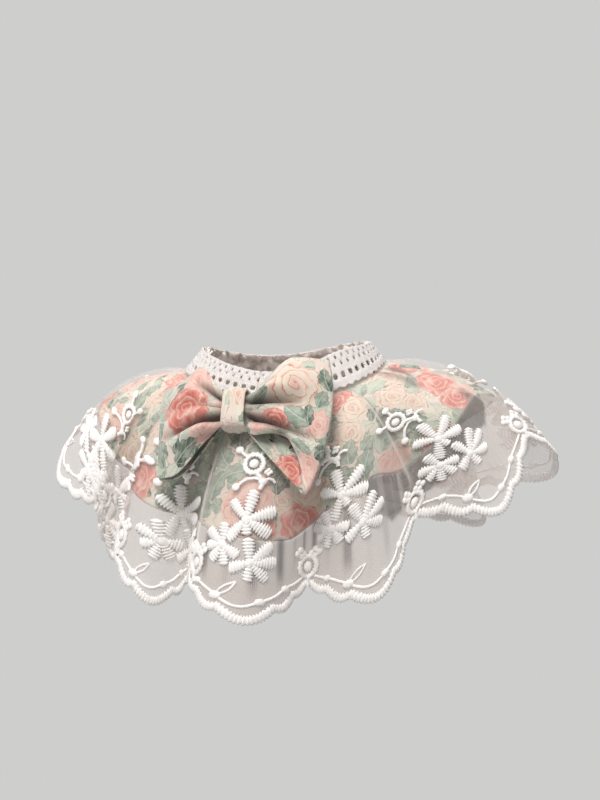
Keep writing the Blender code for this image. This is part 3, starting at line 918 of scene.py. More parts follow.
# Painted light on the net, 0 to 1 on each point: how grey it is painted below the cotton, how dark its pleats,
# the painted shade of the shaded inside, and the painted highlight of doubled fold edges; each also makes it
# denser.
point_values(net, "free", below * (0.45 + 0.55 * np.maximum(in_front, 0.45 * at_left)))
point_values(net, "pleat", net_pleats(s, down) * (0.15 + 0.85 * in_front))
point_values(net, "painted_shade", below * shade_behind(s, down))
point_values(net, "turned", np.maximum.reduce(list(strokes(s, down, NET_FOLDS))))
mend(net)
wear(net, net_look)
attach(net, "root")
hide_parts("net_ruffle")
print(count(net))

# %% [markdown]
# ## The cotton ruffle
# It hangs close under the net and is shorter. Its edge is turned under once, which
# leaves a slightly thicker rim. Motifs that show in front are placed where the
# photograph has them; the scatter fills the rest.

# %% Cotton ruffle
COTTON_LIFT, COTTON_GRID = -1.75, (40 * REPEATS, 44)
# rows as those of NET_FOLDS, for the painted shade in the deepest folds
COTTON_SHADES = (
    (4.85, 5.09, 14, 92, 0.55, 0.035), (2.90, 2.97, 40, 92, 0.50, 0.07), (2.72, 2.78, 52, 88, 0.35, 0.10),
    (1.80, 1.40, 30, 84, 0.35, 0.07), (5.96, 5.80, 60, 97, 1.0, 0.06), (6.14, 5.84, 12, 36, 0.9, 0.06),
    (5.80, 5.68, 6, 44, 0.75, 0.10), (4.28, 4.34, 24, 66, 0.30, 0.05), (7.95, 7.95, 20, 78, 0.25, 0.10),
    (9.95, 9.95, 20, 80, 0.25, 0.10), (11.95, 11.95, 20, 78, 0.25, 0.10), (12.95, 12.95, 20, 78, 0.25, 0.10),
)


def cotton_down(u, v):
    s = u * REPEATS
    hem = cotton_hem(s)
    return s, hem + (SEAM_START - SEAM_OVERLAP - hem) * v


def cotton_place(u, v):
    s, down = cotton_down(u, v)
    rim = 0.22 * bell((cotton_hem(s) - down) / 2.2, 4)
    return on_ruffle(s, down, COTTON_LIFT + rim - 0.5 * swell(s, down))


def cotton_flat(u, v):
    return flat_cut(*cotton_down(u, v))


# scallop, mm down, size, turn in degrees, tone
RUFFLE_ROSES = (
    (2.12, 73, 11.0, 20, 0.2), (3.42, 76, 9.0, 80, 0.5), (3.60, 84, 5.0, 30, 0.2), (4.80, 70, 7.5, 10, 0.6),
    (4.98, 73, 6.0, 70, 0.6), (5.92, 47, 12.0, 200, 0.2), (5.98, 62, 8.0, 120, 0.55), (0.71, 66, 7.5, 300, 0.5),
    (0.88, 58, 5.0, 40, 0.2), (4.62, 28, 10.0, 60, 0.9), (4.45, 42, 8.5, 200, 0.95), (3.98, 64, 10.0, 10, 0.85),
    (0.10, 34, 9.0, 60, 0.5), (5.24, 37, 9.0, 80, 0.9), (5.38, 47, 7.0, 30, 0.95), (5.78, 20, 6.0, 40, 0.2),
    (3.72, 70, 7.0, 120, 0.9), (1.20, 30, 9.0, 100, 0.3),
)
RUFFLE_LEAVES = (
    (2.47, 77, 7, 100, 0.9), (2.60, 66, 7, 30, 0.7), (3.12, 64, 9, 70, 0.7), (3.08, 50, 9, 130, 0.7),
    (3.30, 58, 8, 20, 0.65), (3.22, 40, 8, 100, 0.9), (3.50, 46, 8, 60, 0.7), (4.38, 52, 8, 80, 0.7),
    (4.55, 60, 9, 60, 0.65), (4.30, 62, 8, 140, 0.7), (4.62, 52, 7, 20, 0.75), (0.76, 38, 9, 100, 0.7),
    (0.86, 47, 8, 140, 0.65), (1.14, 66, 7, 60, 0.95), (1.02, 52, 6, 20, 0.9), (5.80, 78, 9, 70, 0.95),
    (5.64, 72, 8, 100, 0.7), (5.25, 22, 9, 10, 0.5), (6.30, 26, 7, 60, 0.95),
    (5.20, 58, 8, 140, 0.65), (3.66, 62, 6, 80, 0.95),
)


def on_cut(table):
    """Motifs named by scallop and drop, as rows in mm on the flat cut, upright there."""
    rows = []
    for s, down, size, turn, tone in table:
        x, y = flat_cut(s, down)
        rows.append((x, y, size, turn + math.degrees((s - CUT_MIDDLE) * CUT_TURN), tone))
    return rows


ruffle_cotton = cotton_material(
    "printed_cotton_ruffle", on_cut(RUFFLE_ROSES), on_cut(RUFFLE_LEAVES), 0.75, tone_and_shade=RUFFLE_TONE
)
cotton = cloth_grid("printed_cotton_ruffle", *COTTON_GRID, cotton_place, cotton_flat)
s, down = cotton_down(*grid_shares(cotton, *COTTON_GRID))
# painted shade in the deepest folds of the cotton
point_values(cotton, "painted_shade", np.maximum.reduce(list(strokes(s, down, COTTON_SHADES))))
mend(cotton)
finish_with(cotton, ("SOLIDIFY", {"thickness": 0.45 * MM, "offset": 0}))
wear(cotton, ruffle_cotton)
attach(cotton, "root")
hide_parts("cotton_ruffle")
print(count(cotton))

# %% [markdown]
# ## The embroidery
# White satin stitch lies on the net: in each repeat three flowers that touch, a ring
# with two arms above them, a ring over each notch, and a vine with knots along the
# edge. A satin-stitched petal is a padded oval wound across with thick thread, so it
# looks ribbed. One petal of each length is modelled as a sphere whose rings are made
# wide and narrow in turn. Flowers are put together flat, and then laid on the ruffle.


# %% A ribbed petal
def bead(name, size, place=(0, 0, 0), rings=6, segments=8):
    """A low rounded knot of thread, size and place in mm."""
    bpy.ops.object.select_all(action="DESELECT")
    bpy.ops.mesh.primitive_uv_sphere_add(segments=segments, ring_count=rings, radius=0.5)
    knot = bpy.context.object
    knot.name = name
    knot.scale = [part * MM for part in size]
    knot.location = [part * MM for part in place]
    return set_down(knot)


def ribbed_petal(name, length, width, height, ribs):
    """A petal along +X from the flower's middle, wound across with thick thread."""
    rings = 3 * ribs + 1
    petal = bead(name, (1, 1, 1), rings=rings, segments=8)
    x, y, z = corners_of(petal).T
    number = np.round(np.arccos(np.clip(2 * z, -1, 1)) / np.pi * rings)
    around = np.arctan2(y, x)
    share = number / rings
    groove = (number % 3 == 0) | (number == rings)
    taper = (0.46 + 0.80 * share) * np.sqrt(1 - np.clip((share - 0.52) / 0.50, 0, 0.96) ** 2.3)
    end = np.where((number == 0) | (number == rings), 0.0, 1.0)
    thick = np.where(groove, 0.36, 1.0) * end
    wide = np.where(groove, 0.66, 1.08) * taper * end
    up = np.sin(around)
    along = 0.6 + length * share + 0.25 * np.cos(around) * end
    sideways_out = width / 2 * wide * np.cos(around)
    high = 0.3 + height / 2 * thick * (0.8 + 0.2 * taper) * np.where(up > 0, up, up * 0.4)
    move_corners(petal, np.stack([along, sideways_out, high], -1))
    mend(petal, 1e-7)
    return petal


thread_look, tree, shader = new_material(
    "white_satin_thread", Roughness=0.5, Sheen_Weight=0.3, Sheen_Roughness=0.4
)
fibre = noise(get(tree, "TexCoord", output="Object"), 900.0, 3.0)
shade = blend(soft_step(fibre, 0.3, 0.7), paint(243, 237, 233), paint(255, 252, 249))
colour_and_bump(shader, shade, fibre, 0.3, 0.0002)
print("thread material ready")

# %% Flowers of one repeat, flat
# x and y of each middle in mm from the first flower's, then its petals' degrees and reach
FLAT_FLOWERS = (
    (0.0, 0.0, ((76, 14.0), (129, 12.6), (13, 15.6), (-31, 14.6), (-136, 12.4), (-84, 7.2))),
    (-11.6, -10.6, ((85, 10.2), (139, 11.4), (182, 9.4), (-131, 9.6), (-82, 9.8), (-34, 10.4))),
    (2.3, -19.4, ((94, 11.6), (32, 14.2), (-4, 14.6), (-45, 12.4), (-98, 8.8), (-168, 10.6))),
)
PETAL_WIDTH, PETAL_HEIGHT, RIB = 6.7, 2.5, 1.65
FULL_REACH = 14  # of a petal that has the full width


def flower_cluster():
    pieces = []
    for number, (x, y, petals) in enumerate(FLAT_FLOWERS):
        pieces.append(bead("flower_heart", (4.6, 4.6, 2.2), (x, y, 0.5)))
        for k, (turn, reach) in enumerate(petals):
            uneven = 0.97 + 0.07 * math.sin(5 * k + number)
            wide = PETAL_WIDTH * (0.62 + 0.38 * reach / FULL_REACH) * uneven
            petal = ribbed_petal("petal", reach - 0.6, wide, PETAL_HEIGHT, round(reach / RIB))
            petal.rotation_euler.z = math.radians(turn)
            petal.location = (x * MM, y * MM, 0)
            pieces.append(set_down(petal))
    return joined("flat_flowers", pieces)


flat_flowers = flower_cluster()
print(count(flat_flowers))

# %% [markdown]
# Rings, arms and the vine are cords of thread. Each is a curve with a round bevel,
# and where the thread is wound the points take a thick and a thin radius in turn,
# which makes the ribs. Knots of thread are beads.


# %% Cords of thread, flat
def cord(name, path, radius, ribs=0.0, closed=False, height=0.85):
    """A low cord along x, y points in mm; ribs is how much each second point swells."""
    curve = bpy.data.curves.new(name, "CURVE")
    curve.dimensions = "3D"
    curve.bevel_depth = radius * MM
    curve.bevel_resolution = 1
    curve.use_fill_caps = True
    line = curve.splines.new("POLY")
    line.points.add(len(path) - 1)
    for number, (point, (x, y)) in enumerate(zip(line.points, path)):
        point.co = (x * MM, y * MM, 0, 1)
        point.radius = 1 + ribs * (1 - 2 * (number % 2))
    line.use_cyclic_u = closed
    thing = bpy.data.objects.new(name, curve)
    bpy.context.collection.objects.link(thing)
    only(thing)
    bpy.ops.object.convert(target="MESH")
    made = bpy.context.object
    made.scale.z = height
    made.location.z = 0.35 * radius * MM
    return set_down(made)


def ring(radius, wide, eye, y=0):
    """A wound ring over x = 0 with a bead in its middle."""
    turns = np.radians(np.linspace(0, 360, 29))[:-1]
    path = [(radius * math.cos(turn), y + radius * math.sin(turn)) for turn in turns]
    circle = cord("ring", path, wide, ribs=0.24, closed=True, height=0.65)
    return [circle, bead("ring_eye", (eye, eye, 2.1), (0, y, 0.5), 6, 10)]


def bud(x, y, size):
    """A little knobby bud of four loops of thread."""
    loop, around = (size * 0.62, size * 0.62, 1.8), [(0.36, 0.02), (-0.36, 0.0), (0.02, 0.34), (0.0, -0.26)]
    return [bead("bud", loop, (x + a * size, y + b * size, 0.45)) for a, b in around]


def notch_ring():
    """The ring over a notch, from the notch line up, with two buds and a root."""
    pieces = ring(5.1, 1.4, 5.6, y=8.4) + bud(-4.6, 15.0, 5.6) + bud(4.2, 14.8, 5.6)
    pieces.append(cord("root", [(0, 3.4), (0, 1.6), (0, -0.6)], 1.5))
    return joined("flat_notch_ring", pieces)


# name, path and radius in mm of each arm, then name, size and place of the bead at its tip
RING_ARMS = (
    ("raised_arm", [(-3.4, 3.4), (-5.4, 5.2), (-7.4, 7.0)], 0.8, "arm_tip", (4.6, 4.0, 1.9), (-8.0, 7.6, 0.4)),
    ("raised_arm", [(2.9, 3.8), (4.0, 6.0), (4.6, 7.6)], 0.8, "arm_tip", (4.6, 4.0, 1.9), (4.9, 8.4, 0.4)),
    ("stem", [(1.5, -4.6), (3.2, -6.4), (4.8, -8.6), (4.6, -10.6), (3.8, -12.4)], 1.15,
     "joint", (4.6, 3.8, 2.1), (4.9, -8.8, 0.4)),
    ("left_arm", [(4.2, -8.2), (1.0, -7.0), (-2.4, -7.2), (-5.2, -8.6), (-7.2, -10.2)], 0.75,
     "left_tip", (4.4, 4.0, 2.1), (-8.2, -10.8, 0.4)),
)


def armed_ring():
    """The ring above the flowers, with two raised arms, and a stem with side arms."""
    pieces = ring(4.5, 1.3, 4.6)
    for arm, path, radius, tip, size, place in RING_ARMS:
        pieces += [cord(arm, path, radius), bead(tip, size, place)]
    pieces.append(cord("right_arm", [(5.6, -8.4), (7.8, -7.4), (9.8, -8.0), (11.0, -9.4)], 0.75))
    pieces += bud(7.2, -4.4, 3.4)
    return joined("flat_armed_ring", pieces)


flat_notch_ring, flat_armed_ring = notch_ring(), armed_ring()
print(count(flat_notch_ring), "and", count(flat_armed_ring))

# %% Vine of one repeat, flat
# share of the way from notch to notch, and mm above the notch line
VINE = (
    (0.05, 4.4), (0.11, 2.4), (0.19, 0.8), (0.26, -1.6), (0.33, -4.6), (0.40, -8.4), (0.47, -10.0),
    (0.53, -8.6), (0.57, -6.6), (0.64, -6.0), (0.69, -3.4), (0.74, -0.8), (0.83, 0.8), (0.91, 2.6), (0.96, 4.6),
)
# knots on the vine: share of the way, size in mm; the twin stem grows from the second
VINE_KNOTS = ((0.19, 4.2), (0.33, 5.2), (0.57, 4.4), (0.74, 4.4))
TWIN_REACH, TWIN_RISE, TWIN_BOW = 7.6, 6.8, 0.9


def vine():
    table = np.array(VINE)
    share = np.linspace(table[0, 0], table[-1, 0], 61)
    height = np.interp(share, table[:, 0], table[:, 1])
    soft = np.convolve(np.pad(height, 3, mode="edge"), np.ones(7) / 7, "valid")
    pieces = [cord("vine", list(zip(share * REPEAT_WIDTH, soft)), 0.72)]
    places = [(at * REPEAT_WIDTH, float(np.interp(at, share, soft))) for at, _ in VINE_KNOTS]
    for (_, size), place in zip(VINE_KNOTS, places):
        pieces.append(bead("vine_knot", (size, size * 0.84, 2.3), (*place, 0.45)))
    x, y = places[1]
    for bow in (-TWIN_BOW, TWIN_BOW):
        path = []
        for t in np.linspace(0, 1, 9):
            off = bow * math.sin(math.pi * t)
            path.append((x + TWIN_REACH * t + off, y + TWIN_RISE * t - off))
        pieces.append(cord("twin_stem", path, 0.6))
    return joined("flat_vine", pieces)


flat_vine = vine()
print(count(flat_vine))

# %% [markdown]
# Laying a flat motif on the ruffle keeps its size: the width of a scallop is measured
# on the curved cloth at the motif's own place, and sideways millimetres are turned
# into scallops by it. The motif's height becomes the lift off the net.


# %% Laying motifs on the net
def scallop_width(s, down):
    """Millimetres of cloth in one scallop's turn, measured about s."""
    before, middle, after = fall(s - 0.12, down), fall(s, down), fall(s + 0.12, down)
    halves = np.linalg.norm(after - middle, axis=-1) + np.linalg.norm(middle - before, axis=-1)
    return np.maximum(halves, np.linalg.norm(after - before, axis=-1)) / 0.24


def lay(flat_piece, name, s, down, turn=0.0, above=(0.0, 0.0), even=False):
    """A copy of a flat motif, moved by above and turned, laid with the turning point at s and down."""
    piece = flat_piece.copy()
    piece.data = flat_piece.data.copy()
    piece.name = piece.data.name = name
    bpy.context.collection.objects.link(piece)
    x, y, z = corners_of(piece).T
    x, y = x + above[0], y + above[1]
    cos, sin = math.cos(math.radians(turn)), math.sin(math.radians(turn))
    x, y = x * cos - y * sin, x * sin + y * cos
    rows = down - y
    width = REPEAT_WIDTH if even else scallop_width(np.full_like(rows, s), rows)
    move_corners(piece, on_ruffle(s + x / width, rows, z))
    return piece


# where the first flower hangs: share of the repeat, mm down, and its turn; the front ones as they fall
FLOWERS_HANG = {
    0: (0.80, 82, -8), 1: (0.42, 93, -20), 2: (0.66, 82, 22),
    3: (0.46, 80, 5), 4: (0.30, 71, 25), 5: (0.30, 76, 30),
}
FLOWERS_USUAL = (0.46, 81, 0)
RING_ABOVE = (1.7, 26.0)
# where a fold would hide the ring over a notch, it has slid on to the next side
NOTCH_RINGS_HANG = {1: 1.14, 2: 2.14, 3: 3.15}
vine_pieces = []
for number in range(REPEATS):
    share, down, turn = FLOWERS_HANG.get(number, FLOWERS_USUAL)
    flowers = lay(flat_flowers, f"satin_flowers_{number + 1:02d}", number + share, down, turn)
    wear(flowers, thread_look)
    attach(flowers, "root")
    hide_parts(f"flower_cluster_{number + 1:02d}")
    ring_at = NOTCH_RINGS_HANG.get(number, float(number))
    vine_pieces += [
        lay(flat_notch_ring, "notch_ring", ring_at, RUFFLE_DROP),
        lay(flat_armed_ring, "armed_ring", number + share, down, turn, RING_ABOVE),
        lay(flat_vine, "vine", float(number), RUFFLE_DROP, even=True),
    ]
vines = joined("vine_and_rings", vine_pieces)
wear(vines, thread_look)
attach(vines, "root")
for pattern in (flat_flowers, flat_notch_ring, flat_armed_ring, flat_vine):
    bpy.data.objects.remove(pattern)
print(count(flowers), "x", REPEATS, "and", count(vines))

# %% [markdown]
# ## The satin edge
# The hem is bound with close satin stitch, a thick roll about 4 mm wide. The stitches
# lie across the roll and fan out round each arc. The roll is a ring of cross sections,
# and each stitch is a section that swells and one that sinks.

# %% Satin edge
EDGE_WIDTH, EDGE_HEIGHT, STITCH = 4.3, 1.2, 1.65


def edge_roll():
    """Outer and inner lines of the roll on one repeat, as x mm and mm below the notch line."""
    xs = np.linspace(0, REPEAT_WIDTH, 1361)
    drop = scallop(xs[:-1] / REPEAT_WIDTH)
    drop = np.append(drop, drop[0])
    walked = np.concatenate([[0], np.cumsum(np.hypot(np.diff(xs), np.diff(drop)))])
    stitches = round(walked[-1] / STITCH)
    at = np.linspace(0, walked[-1], 3 * stitches + 1)[:-1]
    x, y = np.interp(at, walked, xs), np.interp(at, walked, drop)
    reach = 9
    smooth = np.ones(2 * reach + 1) / (2 * reach + 1)
    wide = np.concatenate([y[-reach:], y, y[:reach]])
    slope = np.gradient(np.convolve(wide, smooth, "valid"), np.mean(np.diff(at))) * 1.05
    across = np.stack([slope, -np.ones_like(slope)], -1)
    return x, y, unit(across), stitches


edge_x, edge_drop, edge_across, stitches = edge_roll()
SECTION = 8


def edge_place(u, v):
    column = np.round(u * REPEATS * len(edge_x)).astype(int)
    number, i = column // len(edge_x), column % len(edge_x)
    turn = TAU * v
    ribbed = np.where(i % 3 == 0, 0.22, 1.0)
    inward = EDGE_WIDTH * (0.5 - 0.5 * np.cos(turn))
    ragged = 0.60 * np.where(i % 3 == 0, -1, 0.5) * np.cos(turn)
    x = edge_x[i] + edge_across[i, 0] * (inward - ragged)
    drop = edge_drop[i] + edge_across[i, 1] * (inward - ragged)
    lift = 0.1 + EDGE_HEIGHT * ribbed * np.sin(turn) * np.where(np.sin(turn) > 0, 1.0, 0.45)
    return on_ruffle(number + x / REPEAT_WIDTH, RUFFLE_DROP + drop, lift)


edge = cloth_grid("satin_scalloped_edge", REPEATS * len(edge_x), SECTION, edge_place, oblong(1, 1))
mend(edge, 2e-6)
wear(edge, thread_look)
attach(edge, "root")
print(stitches, "stitches in a repeat;", count(edge))

# %% [markdown]
# ## The crochet neckband
# It is worked in cotton yarn with rows of little holes, the lowest row the largest.
# A chart of one repeat says where the holes are: each letter is a small field, and a
# dot is a hole. The fields are a grid bent round the neck. Faces under a dot are
# deleted, the rest gets a wall, and subdivision rounds the yarn round every hole.

# %% Neckband
BAND_CHART = ("####", "#.##", "####", "###.", "####", "####", "#..#", "####", "####", "####")
BAND_ROWS = (-1.2, 0.4, 1.9, 3.1, 4.6, 5.8, 7.3, 9.3, 10.6, 11.9, 13.2)  # mm from the top edge
BAND_CELLS, BAND_CUT = 63, (270, 14)  # repeats of the chart, and mm round and up on the flat cut
RIM_LIFTS = ((52, 0.50, 4.2), (118, 0.60, -3.0))  # azimuth in degrees, half width in radians, mm up
columns = BAND_CELLS * len(BAND_CHART[0])


def rim_lift(azimuth, down):
    """How far the top of the band stands up or sinks beside the folds of its rim."""
    lifts = (rise * bell((azimuth - math.radians(at)) / half) for at, half, rise in RIM_LIFTS)
    return sum(lifts) * np.clip(1 - down / 12, 0, 1)


def band_place(u, v):
    azimuth, row = TAU * u, np.round(v * (len(BAND_ROWS) - 1)).astype(int)
    column = np.round(u * columns).astype(int) % columns
    low = np.where(row == 0, 0.9 * np.cos(np.pi * column / 2), 0)
    high = np.where(row == len(BAND_ROWS) - 1, 0.175 * np.cos(np.pi * column / 2), 0)
    down = np.array(BAND_ROWS)[::-1][row] + low + high
    hand = 0.16 * np.sin(column * 2.1 + row * 1.3) + 0.12 * np.sin(column * 0.37 + row * 4.1)
    down = down - rim_lift(azimuth, down)
    ridge = 0.22 * np.cos(np.pi * row) + 0.15 * np.cos(np.pi * column)
    lift = SEAM_GAP + BAND_WALL / 2 + ridge + hand
    out = polar(azimuth, 1.0, 1.0, BAND_FLARE / BAND_DROP + 0 * azimuth)
    return band_point(azimuth, down + hand) + unit(out) * lift[..., None]


band = cloth_grid("crochet_band", columns, len(BAND_CHART), band_place, oblong(*BAND_CUT))
only(band)
bpy.ops.object.mode_set(mode="EDIT")
bpy.ops.mesh.select_mode(type="FACE")
bpy.ops.mesh.select_all(action="DESELECT")
bpy.ops.object.mode_set(mode="OBJECT")
for face in band.data.polygons:
    u, v = np.mean([band.data.uv_layers[0].data[loop].uv for loop in face.loop_indices], axis=0) / BAND_CUT
    row, column = len(BAND_CHART) - 1 - int(v * len(BAND_CHART)), int(u * columns)
    face.select = BAND_CHART[row][column % 4] == "."
bpy.ops.object.mode_set(mode="EDIT")
bpy.ops.mesh.delete(type="FACE")
bpy.ops.mesh.select_mode(type="VERT")
bpy.ops.object.mode_set(mode="OBJECT")
mend(band)
finish_with(
    band,
    ("SOLIDIFY", {"thickness": 1.15 * MM, "offset": 0}),
    ("SUBSURF", {"levels": 1, "render_levels": 1}),
)
bpy.ops.object.shade_smooth()

yarn_look, tree, shader = new_material("crochet_yarn", Roughness=0.92, Sheen_Weight=0.3, Sheen_Roughness=0.5)
flat = get(tree, "UVMap", uv_map="flat_cut")
wound = {"Vector": flat, "Scale": 0.55, "Distortion": 3.0, "Detail": 2.0, "Detail Scale": 1.2}
twist = get(tree, "TexWave", wound, 1, wave_type="BANDS", bands_direction="DIAGONAL")
fuzz = noise(get(tree, "TexCoord", output="Object"), 1100.0, 3.0)
shade = blend(fuzz * twist, paint(208, 200, 195), paint(250, 246, 243))
colour_and_bump(shader, shade, twist + fuzz, 0.5, 0.0005)
wear(band, yarn_look)
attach(band, "root")
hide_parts("crochet_neckband")
print(count(band))

# %% [markdown]
# Inside the back of the neckband a soft beige strip shows, drawn up into small lumpy
# gathers by its elastic. It is a grid too, pushed in and out by waves that differ in
# length, so that no two gathers are alike.

# %% Ruched strip inside the neckband
STRIP_START, STRIP_TURN = math.radians(62), math.radians(240)
STRIP_TOP, STRIP_HEIGHT = -1.6, 12.4  # mm from the top edge of the band
STRIP_GRID, STRIP_CUT = (420, 14), (330, 12)  # columns and rows, and mm on the flat cut


def strip_place(u, v):
    azimuth, down = STRIP_START + STRIP_TURN * u, STRIP_TOP + STRIP_HEIGHT * (1 - v)
    lumps = 0.5 * np.sin(61 * azimuth + 2 * np.sin(17 * azimuth) + 0.3 * down)
    lumps = lumps + 0.35 * np.sin(37 * azimuth + 0.9 * down)
    top = (0.5 * np.sin(53 * azimuth) + 0.5 * np.sin(31 * azimuth + 1)) * bell((down - STRIP_TOP) / 2)
    rolled = 1.4 * bell((down - STRIP_TOP) / 1.6)
    ends = smooth_step(u / 0.08) * smooth_step((1 - u) / 0.08)
    inward = -1.75 + (rolled + 0.9 * lumps) * ends - 0.4 * (1 - ends)
    place = band_point(azimuth, down - rim_lift(azimuth, down) - top)
    return place + polar(azimuth, 1.0, 1.0, 0 * azimuth) * inward[..., None]


strip_look, tree, shader = new_material(
    "ruched_cotton", Roughness=0.95, Sheen_Weight=0.5, Sheen_Roughness=0.5
)
place = get(tree, "TexCoord", output="Object")
fuzz = noise(place, 700.0, 4.0)
lumps = soft_step(noise(place, 130.0), 0.42, 0.62)
shade = blend(lumps, paint(156, 139, 130), paint(240, 229, 221))
colour_and_bump(shader, blend(fuzz * 0.5, shade, paint(216, 202, 192)), fuzz, 0.6, 0.0008)
strip = cloth_grid("ruched_neck_strip", *STRIP_GRID, strip_place, oblong(*STRIP_CUT))
finish_with(strip, ("SOLIDIFY", {"thickness": 0.5 * MM, "offset": 0}))
wear(strip, strip_look)
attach(strip, "root")
print(count(strip))

# %% [markdown]
# ## The bow
# A flat tube of the print is pinched by a short band. Seen from in front each loop is
# a soft pillow with deep creases that run out from the knot. The tube is a grid bent
# round, with the imported bow's own corners; the creases are listed one by one.

# %% Bow sizes
BOW_CORNERS = ((-1, 1, 42.5, 15), (-1, -1, 40, 31), (1, 1, 38.5, 27), (1, -1, 31, 43))
PINCH_HALF_HEIGHT, PINCH_END = 7.8, 5  # half height in the knot, and how far from it the loops open
KNOT_HALF_WIDTH, KNOT_HALF_HEIGHT, KNOT_HALF_DEPTH, KNOT_SHIFT = 5.9, 10.4, 7.0, -2.8
BOW_CENTRE, BOW_LEAN, BOW_ROLL = (0.0, -65.5, -12.0), math.radians(34), math.radians(6)
# side, mm up the bow near the knot and at its end, length in mm, depth, half width in mm; the depth also sets
# how dark the painted shade in the crease is
BOW_CREASES = (
    (1, 3.2, 2.6, 25, 7.5, 1.9), (1, -3.8, -16.5, 32, 9.0, 2.1), (1, 6.4, 13.0, 15, 2.4, 1.3),
    (-1, -3.4, -13.0, 38, 9.0, 2.1), (-1, 3.8, 12.5, 17, 7.5, 2.0), (-1, 0.4, 1.0, 16, 1.8, 1.2),
    (-1, -7.2, -19.0, 18, 2.2, 1.4), (1, -0.4, -4.6, 18, 2.0, 1.3),
)


def bow_place(x, v, w):
    """The bow's own x along it, v up it and w out of it, to the collar's frame."""
    x, v = (
        x * math.cos(BOW_ROLL) - v * math.sin(BOW_ROLL),
        x * math.sin(BOW_ROLL) + v * math.cos(BOW_ROLL),
    )
    up = (0, math.sin(BOW_LEAN), math.cos(BOW_LEAN))
    out = (0, -math.cos(BOW_LEAN), math.sin(BOW_LEAN))
    return np.stack([BOW_CENTRE[0] + x] + [BOW_CENTRE[k] + v * up[k] + w * out[k] for k in (1, 2)], -1)


def bow_corner(x, v):
    table = {(side, edge): (reach, height) for side, edge, reach, height in BOW_CORNERS}
    upper, lower = (np.where(x[..., None] < 0, table[-1, edge], table[1, edge]) for edge in (1, -1))
    share = np.clip((1 + v) / 2, 0, 1)[..., None] ** np.where(x < 0, 0.7, 0.38)[..., None]
    reach = (lower + (upper - lower) * share)[..., 0] + np.where(x < 0, 1.5, 4.5) * (1 - v**2)
    return reach, np.where(v > 0, upper[..., 1], lower[..., 1])


def signed_power(x, power):
    """A power that keeps the sign, which makes a round section squarer."""
    return np.sign(x) * np.abs(x) ** power


def from_knot(x):
    """Millimetres along the bow from the middle of the knot."""
    return np.abs(x - KNOT_SHIFT * (1 - smooth_step((np.abs(x) - 4) / 30)))


def front_of_bow(angle):
    """Front or back of the tube as 1 to -1, and 0 to 1 over the front alone."""
    side = signed_power(np.sin(angle), 0.55)
    return side, smooth_step(side)


def crease_at(crease, x, up, ease):
    """How strong a crease is at a point of the bow, and how far off, in half widths."""
    sign, near, out, length, _, wide = crease
    share = np.clip((from_knot(x) - PINCH_END) / length, 0, 1)
    away = (up - (near + (out - near) * share)) / (wide * (1 + 0.5 * share))
    return (1 - share) ** ease * (sign * x > 0), away


def bow_loop(turn, v):
    """A point of the flattened tube; turn 0 to 1 goes round it and v is -1 to 1."""
    angle = TAU * turn
    along = signed_power(np.cos(angle), 0.8)
    reach, height = bow_corner(along, v)
    x = along * reach
    far = from_knot(x)
    lower = np.where(x < 0, smooth_step((far - 4) / 30), np.clip((far - 4) / 29, 0, 1))
    opened = np.where(v > 0, smooth_step((far - 5) / 20), lower)
    puff = smooth_step((far - 5) / 14) * (1 - 0.5 * smooth_step((far - 22) / 21))
    side, front = front_of_bow(angle)
    hump = 8.5 * bell((far - 21) / 10) * (x < 0) * (v > 0)
    flap = 19.0 * front * (x > 0) * (v < 0) * smooth_step((far - 6) / 20)
    half_height = PINCH_HALF_HEIGHT + (height - PINCH_HALF_HEIGHT) * opened + (hump - flap) * np.abs(v)
    depth = (1.6 + 6.0 * puff) * (1 - 0.55 * v**4)
    ripple = np.cos(TAU * v) * (0.6 + 1.5 * puff)
    w = side * depth - ripple * (0.6 + 0.4 * side) * np.abs(side) - x**2 / 210
    up = v * half_height
    for crease in BOW_CREASES:
        deep, wide = crease[4:]
        fade, away = crease_at(crease, x, up, 0.6)
        fade = fade * smooth_step((far - 4.5) / 4) * front
        w = w - deep * fade * (bell(away) - 0.28 * bell(np.abs(away) - 2.3))
        up = up - 1.1 * wide * fade * away * bell(away)
    return x, up, w


def bow_painted_shade(turn, v):
    """Painted shade on the bow, 0 to 1: dark deep in a crease and along the sharp crease at the +X end."""
    x, up, _ = bow_loop(turn, v)
    front = front_of_bow(TAU * turn)[1]
    # painted shade: a thin dark line along the sharp crease at the end on the +X side
    end = bell(np.minimum(turn, 1 - turn) / 0.010)  # the sharp crease at the end on the +X side
    shade = 0.6 * end
    for crease in BOW_CREASES:
        fade, away = crease_at(crease, x, up, 0.5)
        shade = np.maximum(shade, crease[4] / 7 * fade * front * bell((away - 0.25) / 1.05))
    return np.clip(shade, 0, 1)


print("bow creases:", len(BOW_CREASES))

